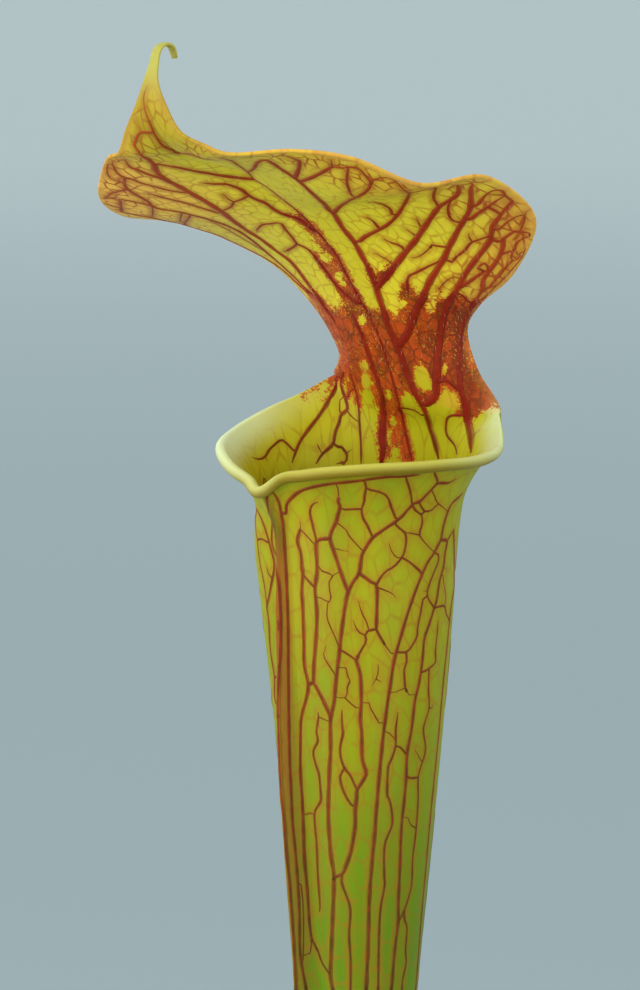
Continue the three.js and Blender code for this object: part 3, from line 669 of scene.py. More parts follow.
# The veins that the photograph shows, drawn over it. A path runs through points given as x, y, x, y and so
# on, in the photograph's pixels. Widths are in mm, at a path's start and end.
tracedVeins = {
    "tubeTrunk": {"width": (0.72, 0.72), "paths": [
        [286,513, 287,504, 292,497.5, 304,489.5, 322,485, 342,482.5, 360,480.5, 385,477, 400,476.5, 420,474.5],
        [456,479, 448,483, 438,483, 432,489, 427,494, 420,501, 413,504, 403,515, 396,521, 383,530, 372,538, 366,547,
         362,554, 360.5,562, 359,573, 353,582, 348,592, 345,606, 343,620, 341,635, 339,655, 336,680, 334,702, 330.5,720,
         330.5,750, 329,780, 328.5,820, 331,855, 334,877, 333,910, 331.5,950, 330.5,975, 333,990],
        [463,493, 459,497, 453,502, 448,511, 445,520, 442.5,530, 441,539, 437,547, 432,556, 427,563, 420,579, 413,597,
         406,618, 399.5,640, 394,660, 390,685, 386,712, 382.5,740, 379.5,770, 377,800, 374,838, 371.5,865, 369,900,
         368,940, 366,990],
        [338,502, 340,507, 338,514, 336,522, 332.5,529, 330,539, 334.5,553, 341,573, 348,592],
        [316.5,541, 316,550, 317,562, 317,573, 315,588, 316,600, 317,615, 316,640, 314,665, 313.5,682],
        [300,530, 297.5,541, 301,553, 302,567, 303,574, 302,590, 303,610, 304,640, 304.5,665, 308.5,685, 306,700,
         301.5,718, 300.5,740, 300,770, 302,800, 303,830, 304,860, 307,890, 309.5,925, 311.5,939],
        [360,574, 366,578, 371,582, 376,584.5, 377,592, 376.5,615, 376,629],
        [441,540, 447,541, 445,553, 443.5,566, 439.5,581, 436.5,600, 434,608, 431,618, 427,630, 424,640, 422,662,
         419,682, 414.5,702, 411.5,728, 407,752, 406,775, 404,800, 401,830, 399.5,870, 398,905, 398,921, 394.5,950,
         392,980, 391,990],
        [250,489, 256,507, 261.5,519, 267.5,536, 272,552, 274.5,566, 272,581, 269,597, 267,607, 269,622, 270.5,650,
         274.5,677, 276,703, 278,716],
        [453.5,531, 454,560, 454,585, 451,606, 446.5,650, 442.5,690, 439,730, 435,770, 430.5,815, 426,865, 421.5,915,
         417.5,965, 415.5,990],
        [356,660, 360,674, 361,690, 361,703, 360,720, 361.5,732, 362,758, 366,773, 363,780, 357,790, 356.5,798, 355,810,
         355,825, 351,850, 345,868, 342,874, 334,877],
        [317,541, 321,539, 330,538.5],
        [308.5,685, 313.5,682],
        [313.5,682, 321,696, 329,713, 330.5,719],
    ]},
    "tubeSide": {"width": (0.48, 0.48), "paths": [
        [405.5,476, 408,484, 412,504],
        [437.5,471, 437.5,481],
        [412,505, 416,511, 421.5,515, 422,524, 420,530, 419.5,535],
        [421.5,514, 424,511.5, 431,510.5, 438.5,503.5],
        [419,502, 421.5,507, 424,511],
        [365,482, 366,488, 364.5,495, 364,502, 361.5,509, 363,518, 367,525, 372,536],
        [340,508, 345,509.5, 354,509, 361,509],
        [366,488, 371,490, 380,492, 386,495.5, 389,500, 391,507, 395.5,518],
        [396,525, 400,529, 405,533, 406,542, 405,548, 402,557, 393,567, 386,571, 380,578, 377,584],
        [401.5,557.5, 408,561, 413,565, 420,571],
        [447,541, 450,536, 454,529],
        [438.5,555, 438,562, 432,577, 427.5,590, 428,598, 434,608],
        [434,608, 441,606, 445,606.5, 446,613, 449,620],
        [318,502, 313,504, 310.5,508, 310,514, 312,522, 314,531, 316.5,541],
        [303,574, 306,578, 310,582.5, 314.5,587],
        [257,509, 254,519, 256,530, 257.5,541, 259.5,560, 264,583, 267,606],
        [257.5,540, 262,539, 267,542],
        [266.5,567, 268,573, 271,577],
        [340,650, 346,653, 356,660],
        [356,660, 359.5,653, 363,647, 366,641, 365,634, 369,630.5, 376,629],
        [376,629, 379,635, 382,640],
        [278,668, 274.5,678],
        [318,712, 318.5,717, 317.5,724, 316.5,732, 318,741, 314,749, 313.5,755, 316,765, 319,774, 320.5,790, 321,800,
         318,806, 314.5,814, 316,835, 317,850, 318,875, 320,905, 319.5,912],
        [342,710, 342,725, 343,733, 340.5,745, 340,753, 342,762, 345,769, 350,775, 357,790],
        [344,769, 340,777, 343,790, 350,803, 355,807],
        [397,652, 406,652, 411,647, 417,636, 417.5,628, 421,609, 423,599],
        [406,652, 406.5,662, 404,670, 405,688],
        [422,672, 426,670.5, 432,666, 435.5,662, 435.5,650, 437.5,630, 438,620],
        [429,670, 428.5,690, 429,708, 424,725, 423.5,733, 425.5,750, 421,766, 418,778, 418,800, 416,830, 412.5,860,
         411.5,885, 405,908, 398.5,922],
        [429,708, 432,708, 433.5,704],
        [406,776, 410,778, 418,777.5],
        [398,712, 395.5,730, 395.5,745, 391,760, 388,767, 387,795, 390,802, 392,824, 384.5,845, 384,875, 384.5,885,
         380,912, 378.5,950, 378,990],
        [395.5,746, 400,747, 406,754],
        [342,876, 342,884, 350,908, 349,935, 350.5,960, 350.5,990],
        [312,941, 319.5,955, 323,964, 330,974],
        [404,913, 404.5,920, 407,928, 405.5,950, 406,963, 402.5,980, 402,990],
    ]},
    "tubeFine": {"width": (0.3, 0.24), "paths": [
        [338,502, 338.5,497, 338,489],
        [432,491, 436.5,501, 439,504, 448,512],
        [419.5,535, 410,533],
        [420,536, 425,543, 431,549],
        [335.5,522, 340,525, 346,530, 350,537, 360,548],
        [333,548, 341,550, 348,551.5],
        [401,558, 396,557, 391,550, 389,543],
        [379,588, 387,591, 393,594, 396,598],
        [369,630, 366,621, 362,613, 358,601],
        [360,633, 356,628, 353,620],
        [427.5,591, 423,591],
        [443,566, 447,571],
        [443,576, 444,585, 446,597, 444.5,606],
        [300.5,530, 300,521],
        [301,530, 305,534, 315,545],
        [319,567, 322,571],
        [328,573, 333,575.5],
        [329,582, 329.5,590, 331,597, 330,601, 328,602, 321,598],
        [339,647, 335,637, 328,621, 327,612, 328,602],
        [336,679, 334,673, 324,657, 325,650, 326,645],
        [346,668, 348,677, 350,681],
        [347,688, 347,694, 345,698, 341,698],
        [345,698, 355,707, 359.5,708],
        [319,717, 328,721],
        [369,703, 371,709, 379,723],
        [378,664, 378,672, 376,679, 371,687],
        [376,679, 381,682],
        [382,640, 387,648, 391,653],
        [405,688, 400,690, 396,692],
        [405,688, 409,695],
        [395,739, 389,733],
        [415,750, 419,757, 421,761],
        [416,828, 411,825, 408,818],
        [311,813, 314.5,815],
        [301,885, 303,905, 303.5,930, 303,960],
        [275,608, 277,620, 278,630],
        [311.5,942, 310,953],
    ]},
    "wingEdge": {"width": (0.6, 0.6), "paths": [
        [262,493, 268,510, 272,530, 274,550, 277,575, 280,605, 280,655, 278,700, 279,745, 281,790, 284,820, 286,850,
         289,880, 293,935, 296,990],
        [270,492, 279,503, 282,520, 283.5,535, 285,560, 286.5,590, 287.5,620, 288,680, 289,750, 291,796, 292,820,
         296.5,870, 299,910, 300,955, 306,990],
    ]},
    "hoodTrunk": {"width": (1.36, 0.98), "paths": [
        [438.5,459, 434,438, 430,427, 424,409, 413,388, 404,365, 397,345, 388,325, 384,312, 380,300, 377,290, 374,281,
         371,274, 367,265, 362,256, 354,242, 342,227, 334,214, 327,208, 315,196, 301,183, 295,178],
        [378,286, 383,280, 393,268, 403,255, 414,242, 423,229, 432,216, 439,207, 445,203, 456,196, 459,190, 457,185],
        [399,346, 403,340, 408,332, 412,321, 420,303, 428,285, 436,271, 444,258, 450,245, 457,232, 464,220, 470,209,
         471,197, 471,188, 473,184],
        [426,404, 433,399, 436,392, 437,370, 437,358, 439,345, 441,330, 445,312, 454,294, 463,278, 473,263, 484,249,
         489,242, 492,230, 494,224, 503,212, 512,201, 521,193],
        [471,453, 471,440, 467,420, 463,397, 460,380, 459,365, 460,350, 462,332, 467,315, 474,302, 482,290, 483,281,
         489,271, 496,262, 502,250, 503,240],
        [335,322, 325,308, 316,294, 311,288, 301,274, 290,261, 275,250, 262,240, 243,228, 228,217, 222,212, 208,203,
         192,194, 176,185, 168,181, 157,172, 154,165],
        [381,463, 383,448, 382,438, 383,425, 383,410, 382,397, 379,385, 372,366, 366,347, 362,335, 357,325, 352,314],
    ]},
    "hoodBranch": {"width": (0.92, 0.62), "paths": [
        [360,241, 366,236, 380,229, 387,225, 398,214, 406,201, 409,193],
        [334,213, 338,208, 350,200, 357,197, 364,193, 369,188, 371,182],
        [337,376, 335,388, 327,403, 318,417, 307,431, 299,443, 294,456, 292,463],
        [344,372, 342,388, 345,397, 347,404, 347,410, 341,415, 340,420, 335,433, 334,440, 332,445, 322,454, 316,464],
        [356,302, 350,298, 345,294, 335,284, 327,273, 318,261, 310,251, 304,247, 297,244],
        [312,230, 300,220, 293,217, 285,215, 275,210, 265,203, 255,199, 248,195, 242,190, 235,187, 225,184, 215,184,
         203,183],
        [295,178, 297,173, 299,167, 299,160],
        [294,178, 284,171, 278,167, 272,163, 266,160, 260,161, 256,164, 253,169, 248,172],
        [302,181, 308,179, 321,173, 332,167, 340,168, 353,167, 359,169, 364,174, 370,181],
        [471,206, 477,205, 482,199, 487,194, 492,191, 498,190, 503,191, 506,196, 513,201],
        [469,219, 472,218, 478,213, 488,207, 496,201, 505,196],
        [488,207, 494,210, 500,214],
        [490,237, 495,241, 503,241],
        [503,239, 510,234, 516,231, 522,232, 529,233],
        [461,287, 467,283, 473,279, 483,272, 488,270],
        [502,254, 508,252, 514,250, 516,244, 520,240, 530,236],
        [482,292, 490,286, 495,280, 501,274, 505,268, 512,261],
        [250,179, 240,178, 220,175.5, 200,172, 180,168, 163,165, 157,164],
        [313,295, 303,286, 288,271, 272,257, 258,245, 240,232, 220,223, 200,217, 180,212, 160,209, 152,206, 147,201,
         133,193, 127,189, 124,183, 125,178],
        [168,181, 157,177, 138,170, 130,167, 125,160],
        [155,166, 149,160, 138,150, 134,147, 137,137, 141,132, 147,132.5, 153,132],
        [308,293, 295,281, 275,264, 256,253, 235,243, 215,234, 195,228, 178,223, 158,219, 137,215, 122,212, 120,208,
         112,206, 104,203],
        [437,382, 445,380, 452,384, 462,393],
    ]},
    "hoodSide": {"width": (0.58, 0.46), "paths": [
        [412,461, 407,440, 403,420, 398,400, 394,385, 388,365, 383,348, 377,332, 370,316, 361,302, 352,285, 345,272,
         338,258, 330,247, 322,237, 313,227, 303,216, 294,208, 285,201, 272,191, 262,184, 253,178, 245,170, 235,163,
         222,158],
        [349,370, 353,382, 356,392, 358,402, 359.5,422, 361,448, 361,464],
        [439,207, 434,199, 434,193, 436,189],
        [404,249, 399,245, 392,243, 384,239],
        [299,161, 292,158, 286,156],
        [332,167, 331,160],
        [348,168, 347,176, 347,183, 349,190, 352,196],
        [371,182, 374,180, 380,178, 388,178, 395,181, 404,190, 409,193],
        [409,193, 415,192, 428,189, 436,189],
        [378,227, 374,222, 370,219, 366,217],
        [392,214, 390,209, 384,205, 372,202],
        [449,247, 445,247, 438,246, 432,245],
        [464,222, 458,222, 452,220, 449,215, 448,207, 451,201],
        [408,293, 407,282, 409,276, 415,273, 427,267, 440,261],
        [452,262, 456,257, 464,251, 468,246, 472,242, 484,238, 489,236],
        [500,229, 506,223, 512,219, 518,216, 525,215],
        [525,215, 524,222, 519,232],
        [525,215, 527,210, 531,206],
        [478,268, 483,263, 487,265, 488,270],
        [513,251, 511,257, 513,261, 519,258, 520,253],
        [467,318, 472,309, 484,298, 495,287, 507,275, 519,261, 526,248],
        [462,295, 466,299, 469,302],
        [297,244, 292,248, 284,252],
        [297,244, 294,240, 290,235, 285,229, 280,223, 268,224, 262,225, 256,231],
        [248,196, 240,200, 234,202, 231,207, 224,210],
        [212,160, 198,157, 190,154, 180,153, 172,150, 163,146, 158,140, 153,131, 149,121, 144,105, 144,95, 147,86],
        [125,178, 118,174, 114,168, 112,161],
        [190,193, 172,191, 152,186, 133,180, 125,178],
        [124,183, 117,181, 110,178, 107,171, 108,164],
        [125,190, 112,193, 108,196, 103,198],
        [152,206, 135,202, 118,199, 104,198],
        [120,200, 121,206, 122,212],
        [186,225, 188,219, 190,215],
        [218,213, 205,209, 185,203, 165,198, 147,193],
        [293,450, 290,447, 286,443, 281,440, 274,445, 269,450, 266,455, 263,458, 257,459, 252,457],
        [334,444, 339,447, 344,450, 347,455, 345,463, 336,464],
        [462,415, 455,415, 448,417, 446,425, 447,435, 455,446, 457,455],
        [398,408, 410,409, 416,411, 421,415],
    ]},
    "hoodFine": {"width": (0.32, 0.24), "paths": [
        [392,264, 386,259, 374,253],
        [415,235, 406,229],
        [420,226, 416,218],
        [412,258, 420,256, 430,248],
        [472,242, 469,237, 469,233],
        [438,290, 443,284, 449,279, 455,277],
        [234,202, 228,199, 223,194],
        [141,132, 139,126, 137,121],
        [262,250, 245,240, 228,230, 210,221],
        [152,206, 153,212, 152,217],
        [182,213, 181,222],
        [347,397, 350,393, 352,389],
        [339.5,411, 340,400],
        [347,410, 351,416, 357,421],
        [265,457, 268,462],
        [317,444, 321,452],
        [347,453, 352,449],
        [471,438, 475,434, 480,430],
    ]},
}

# Where the column is red, outlined over the photograph, and the islands of yellow-green in it.
redOutlines = [
    [312,292, 320,297, 330,303, 338,304, 341,296, 347,299, 356,303, 366,310, 377,310, 383,312, 392,310, 396,300,
     402,290, 408,290, 414,294, 422,298, 428,300, 436,298, 444,300, 452,300, 460,299, 468,303, 480,300, 474,312,
     472,325, 472,345, 480,360, 490,376, 503,394, 513,411, 497,413, 487,417, 472,418, 463,414, 462,395, 456,388,
     446,383, 438,386, 434,399, 426,404, 421,400, 417,392, 409,393, 398,396, 397,408, 403,420, 406,440, 411,462,
     397,463, 398,452, 394,452, 380,463, 382,450, 381,440, 373,434, 380,430, 381,412, 376,406, 362,407, 358,400,
     352,385, 347,372, 336,368, 336,360, 330,345, 320,325, 308,302],
    [290,213, 300,216, 314,229, 326,243, 338,258, 348,275, 358,293, 366,310, 350,306, 338,290, 331,278, 322,268,
     318,255, 312,240, 305,228, 296,219],
    [372,269, 390,269, 383,280, 378,284], [298,394, 306,384, 318,376, 325,384, 320,395, 309,401, 300,400],
    [314,380, 326,368, 340,358, 343,378, 330,388, 320,388],
]
redIslands = [
    [415,370, 422,367, 429,372, 433,384, 431,390, 424,389, 416,386, 413,377],
    [441,366, 444,363, 447,366, 447,374, 444,377, 441,374], [361,364, 366,359, 369,363, 369,370, 363,368],
    [364,375, 369,376, 371,384, 366,388, 363,384], [364,391, 369,390, 372,397, 371,404, 365,402, 362,396],
    [386,391, 391,391, 392,398, 388,400, 385,397], [391,417, 396,418, 397,425, 392,426, 390,421],
    [387,428, 391,430, 391,440, 388,444, 386,436], [427,291, 433,289, 436,294, 434,301, 430,302, 427,297],
    [428,304, 434,303, 435,308, 430,311, 427,308], [397,303, 403,300, 407,304, 402,308, 398,307],
    [320,256, 328,253, 333,258, 329,264, 322,262], [334,275, 340,272, 346,276, 340,280, 335,279],
    [338,281, 346,281, 346,285, 340,286], [357,317, 363,315, 366,321, 362,327, 358,322],
    [386,452, 394,450, 397,455, 394,461, 384,463],
]
photoEdge = 988  # a trunk traced to below this runs on down the tube


touchReaches = (0, 0.7, 1.5, 2.5, 4)  # pixels round a drawn point in which the leaf is looked for


class PhotoTracer:  # carries points drawn over the photograph to the leaf that they lie on
    def __init__(self, grids, points, faces, params):
        self.grids, self.points, self.faces, self.params = grids, points, faces, params
        self.tree = BVHTree.FromPolygons([Vector(p) for p in points], faces)

    def touch(self, x, y):
        for reach in touchReaches:
            for k in range(1 if reach == 0 else 12):
                turn = k * math.pi / 6
                ray = photoRay(x + reach * math.cos(turn), y + reach * math.sin(turn))
                hit, _, face, _ = self.tree.ray_cast(cameraPoint, ray)
                if hit is not None:
                    corners = self.faces[face]
                    shares = poly_3d_calc([Vector(self.points[c]) for c in corners], hit)
                    rows, columns, sides = self.params[list(corners), :3].T
                    count = len(self.grids["degrees"])
                    if columns.max() - columns.min() > count / 2:
                        columns = np.where(columns < count / 2, columns + count, columns)
                    return float(np.dot(shares, rows)), float(np.dot(shares, columns)), float(np.dot(shares, sides))
        return None

    def path(self, pixels):
        found = [f for f in (self.touch(x, y) for x, y in pixels) if f is not None]
        side = 1 if sum(f[2] for f in found) > 0 else -1
        found = [f for f in found if f[2] * side > 0]
        if len(found) < 2:
            return None
        knots = np.array([f[:2] for f in found])
        count = len(self.grids["degrees"])
        for k in range(1, len(knots)):
            step = knots[k, 1] - knots[k - 1, 1]
            knots[k, 1] -= count * round(step / count)
        return knots


def photoPixels(points):  # where world points fall on the photograph
    right, back, up = (np.array(v) for v in cameraAxes())
    rays = points - np.array(cameraPoint)
    depth = -(rays @ back)
    offset = np.array(cameraTarget) - np.array(cameraPoint)
    flat = photoView["distance"] / (depth * photoView["pixelSize"])
    x = rays @ right * flat - offset @ right / photoView["pixelSize"] + photoView["width"] / 2
    y = photoView["height"] / 2 - (rays @ up * flat - offset @ up / photoView["pixelSize"])
    return x, y


def outlineDepth(x, y, outline):  # pixels inside an outline, negative outside
    corners = np.array(pairs(outline), float)
    inside, nearest = np.zeros(x.shape, bool), np.full(x.shape, 1e9)
    for (ax, ay), (bx, by) in zip(corners, np.roll(corners, -1, 0)):
        crosses = (ay > y) != (by > y)
        with np.errstate(divide="ignore", invalid="ignore"):
            inside ^= crosses & (x < (bx - ax) * (y - ay) / (by - ay) + ax)
        share = np.clip(((x - ax) * (bx - ax) + (y - ay) * (by - ay)) / ((bx - ax) ** 2 + (by - ay) ** 2), 0, 1)
        nearest = np.minimum(nearest, np.hypot(x - ax - share * (bx - ax), y - ay - share * (by - ay)))
    return np.where(inside, nearest, -nearest)


brightOutline = [  # the smooth yellow-green strip beside the midrib
    222,157, 253,177, 272,191, 294,208, 313,227, 330,247, 345,272, 361,298, 372,311, 378,309, 376,294, 366,268, 350,240,
    334,218, 312,197, 296,183, 280,172, 262,162, 240,155,
]
zoneSoftness = {"red": 13, "bright": 5}  # pixels from half to full
zoneReach = {"foot": -14, "leastTurn": 75}  # no zone lies below this level, or further round the front


def zonesFromPhoto(grids, place):
    x, y = photoPixels(placePoints(grids["inner"].reshape(-1, 3), place))
    red = np.maximum.reduce([outlineDepth(x, y, outline) for outline in redOutlines])
    islands = np.maximum.reduce([outlineDepth(x, y, island) for island in redIslands])
    red = np.where(islands > 0, np.minimum(red, -islands * 4), np.minimum(red, -islands * 3))
    zones = {"red": red, "bright": outlineDepth(x, y, brightOutline)}
    seen = grids["rear"] | (np.abs(grids["degrees"]) > zoneReach["leastTurn"])
    for name, depth in zones.items():
        zone = np.clip(0.5 + depth.reshape(grids["inner"].shape[:2]) / (2 * zoneSoftness[name]), 0, 1)
        zone[:, ~seen] = 0
        zone[grids["levels"] < zoneReach["foot"]] = 0
        zones[name] = zone
    return zones


def smoothVein(grids, knots, startWidth, endWidth, strength=1.0):
    path = smoothPath(grids, knots, veinForm["step"])
    return None if path is None else (path, np.linspace(startWidth, endWidth, len(path)), strength)


tubeNet = {
    "cellsRound": 17, "topCell": 11, "lowCell": 34, "low": -125, "scatter": 0.36, "kink": 0.09, "seed": 5,
    "width": 0.66, "linkWidth": 0.44,
}


def tubeVeins(grids, keep, net):  # an angular net whose cells grow long and narrow down the tube
    draw = random.Random(net["seed"])
    ring, level, seeds, levels = 0, 6.0, [], []
    while level > net["low"]:
        cell = net["topCell"] + (net["lowCell"] - net["topCell"]) * smooth(-level / 120)
        levels.append(level)
        for j in range(-3, net["cellsRound"] + 3):
            own = random.Random(net["seed"] * 1000 + ring * 100 + j % net["cellsRound"])
            x = j + 0.5 * (ring % 2) + own.uniform(-net["scatter"], net["scatter"])
            seeds.append((x, -ring + own.uniform(-net["scatter"], net["scatter"])))
        level -= cell
        ring += 1
    levels += [level, level - 40]
    rings = np.arange(len(levels), dtype=float)
    veins = []
    for (ax, ay), (bx, by) in voronoiEdges(seeds):
        if not (0 <= ax < net["cellsRound"] and min(ay, by) > -ring + 0.4 and max(ay, by) < 0.1):
            continue
        knots = []
        for share in (0, 0.35, 0.68, 1):
            x, y = ax + (bx - ax) * share, ay + (by - ay) * share
            if 0 < share < 1:
                x += draw.uniform(-net["kink"], net["kink"])
            knots.append((firstTurn + x / net["cellsRound"] * 360, np.interp(-y, rings, levels)))
        if not keep(knots[1][0], knots[1][1]) or max(level for _, level in knots) > mouthLevel - 1:
            continue
        steep = abs(by - ay) / (abs(bx - ax) + abs(by - ay) + 1e-6)
        width = (net["linkWidth"] + (net["width"] - net["linkWidth"]) * steep) * grids["leaf"]["veinScale"]
        knots = [(levelToRow(grids, l), degreesToColumn(grids, np.clip(d, firstTurn, lastTurn))) for d, l in knots]
        vein = smoothVein(grids, knots, width, width * draw.uniform(0.85, 1.1), 0.7 + 0.3 * steep)
        if vein:
            veins.append(vein)
    return veins


strandForm = {
    "step": 24, "top": -106, "lows": (-262, -262, -215, -250, -180), "drift": 5, "linkChance": 0.35, "seed": 21,
    "linkReach": (14, 26), "linkDrop": (6, 15), "hiddenWidths": (0.42, 0.6),
}


def lowStrands(grids, starts):  # long strands down the narrow part of the tube, from (degrees, width, level) starts
    draw = random.Random(strandForm["seed"])
    veins = []
    for k, (turn, width, top) in enumerate(starts):
        low = strandForm["lows"][k % len(strandForm["lows"])]
        knots, level, at = [], top, turn
        while level > low:
            knots.append((at, level))
            level -= strandForm["step"] * draw.uniform(0.8, 1.2)
            at += draw.uniform(-1, 1) * strandForm["drift"]
        knots.append((at, low))
        grid = [(levelToRow(grids, l), degreesToColumn(grids, wrapped(d))) for d, l in knots]
        if max(g[1] for g in grid) - min(g[1] for g in grid) > len(grids["degrees"]) / 2:
            continue
        vein = smoothVein(grids, grid, width, width * 0.6)
        if vein:
            veins.append(vein)
        for da, la in knots[:-1]:
            if draw.random() < strandForm["linkChance"]:
                reach = draw.choice((-1, 1)) * draw.uniform(*strandForm["linkReach"])
                middle, end = strandForm["linkDrop"]
                ends = [(da, la), (da + reach * 0.5, la - middle), (da + reach, la - end)]
                ends = [(wrapped(d), l) for d, l in ends]
                columns = [degreesToColumn(grids, d) for d, _ in ends]
                if max(columns) - min(columns) < 30:
                    ends = [(levelToRow(grids, l), c) for (_, l), c in zip(ends, columns)]
                    link = smoothVein(grids, ends, width * 0.6, width * 0.5, 0.8)
                    if link:
                        veins.append(link)
    return veins


tracedTurns = (-50, 122)  # degrees of the tube that the photograph shows
hiddenStrands = (-118, -92, -66, 138, 160, 184, 206)  # degrees at which strands run down the far side


def thinning(grids, path):  # a vein's share of its width as it nears the hood's margin
    gap = leafMasks(grids, path[:, 0], path[:, 1], np.ones(len(path)), np.zeros(len(path)))["gap"]
    return 0.6 + 0.4 * smooth((gap - 1) / 7)


def mainVeins(grids, points, faces, params):
    tracer = PhotoTracer(grids, placePoints(points, mainPlace), faces, params)
    veins, starts = [], []
    for group in tracedVeins.values():
        for pixels in group["paths"]:
            knots = tracer.path(pairs(pixels))
            vein = None if knots is None else smoothVein(grids, knots, *group["width"])
            if vein is None:
                continue
            veins.append(vein)
            if pixels[-1] > photoEdge:
                row, column = vein[0][-1]
                turns, levels = columnTurns(grids), grids["levels"]
                turn = float(np.interp(column % len(grids["degrees"]), np.arange(len(turns)), turns))
                starts.append((turn, group["width"][1], float(np.interp(row, np.arange(len(levels)), levels))))
    widths = strandForm["hiddenWidths"]
    hidden = [(turn, widths[k % 2], strandForm["top"]) for k, turn in enumerate(hiddenStrands)]
    tree, _ = nearbyTree(grids, veins)

    def keep(turn, level):
        if tracedTurns[0] < turn < tracedTurns[1]:
            return False
        column = degreesToColumn(grids, np.clip(turn, firstTurn, lastTurn))
        place = sampleGrid(grids["outer"], np.array([levelToRow(grids, level)]), np.array([column]))[0]
        return level < zoneReach["foot"] or tree.find(Vector(place))[2] > veinForm["rearGap"]

    veins = [(path, widths * thinning(grids, path), strength) for path, widths, strength in veins]
    return joinVeins(grids, veins + tubeVeins(grids, keep, tubeNet) + lowStrands(grids, starts + hidden))


def secondVeins(grids, *_):  # the tall pitcher's veins the other way round, thinned for a smaller leaf
    count, ownCount = len(mainGrids["degrees"]), len(grids["degrees"])
    turns, ownTurns = columnTurns(mainGrids), columnTurns(grids)
    veins = []
    for path, widths, strength in mainVeinList:
        if widths.max() < leafForm["leastVein"] or len(path) < 3:
            continue
        level = np.interp(path[:, 0], np.arange(len(mainGrids["levels"])), mainGrids["levels"])
        turn = wrapped(-np.interp(path[:, 1] % count, np.arange(count + 1), turns))
        if np.abs(np.diff(turn)).max() > 180:
            continue
        row = np.interp(level, grids["levels"], np.arange(len(grids["levels"])))
        column = np.interp(turn, ownTurns, np.arange(ownCount + 1))
        keep = slice(None, None, 2) if len(path) > 8 else slice(None)
        scale = grids["leaf"]["veinScale"]
        veins.append((np.stack([row, column], -1)[keep], widths[keep] * scale, strength))
    return veins


# Pitcher leaf material, shared by the leaf and its veins

leafPaint = paints(
    tube=(158, 154, 6), tubeGreen=(136, 145, 8), tubeDeep=(92, 126, 0), tubeLow=(84, 98, 4),
    # painted light: the lobe colour is the left lobe's own orange, painted brighter to make up for the shade that the
    # lobe lies in
    hood=(228, 209, 50), warm=(218, 152, 56), lobe=(255, 194, 80), bright=(206, 190, 34), inside=(194, 186, 24),
    # painted shade: the lip's under colour darkens the underside of the lip's roll
    tip=(142, 120, 22), lip=(190, 182, 70), lipUnder=(122, 102, 5), lipPale=(214, 230, 184),
    hook=(172, 166, 76), orange=(190, 62, 20), red=(124, 27, 14), vein=(112, 30, 2), veinLow=(82, 44, 0),
    veinHood=(152, 34, 8), veinFar=(184, 70, 22), veinRed=(130, 22, 9),
    veinlet=(172, 76, 20), faint=(150, 94, 16), wing=(142, 82, 16), wingLow=(122, 100, 14), shade=(84, 60, 8),
    margin=(214, 160, 66),
)


veinletForm = {  # stretch along the leaf, mm across a cell, thickness of a line
    "hood": (1.6, 2.1, 0.14), "tube": (2.1, 2.9, 0.1), "red": (1.5, 2.3, 0.13),
}


def veinlets(tree, across, level, stretch, cell, thick):  # a fine net over the leaf's own coordinates, in mm
    place = tree.add("ShaderNodeCombineXYZ", {"X": across, "Y": tree.times(level, 1 / stretch)}).outputs[0]
    shift = tree.add("ShaderNodeTexNoise", {"Vector": place, "Scale": 0.5 / cell, "Detail": 2.0})
    bent = tree.add("ShaderNodeVectorMath", {0: shift.outputs["Color"], 1: place}, operation="ADD").outputs[0]
    cells = tree.add("ShaderNodeTexVoronoi", {"Vector": bent, "Scale": 1 / cell}, feature="DISTANCE_TO_EDGE",
                     voronoi_dimensions="2D")
    return tree.ramp(cells.outputs["Distance"], thick, thick * 0.3)


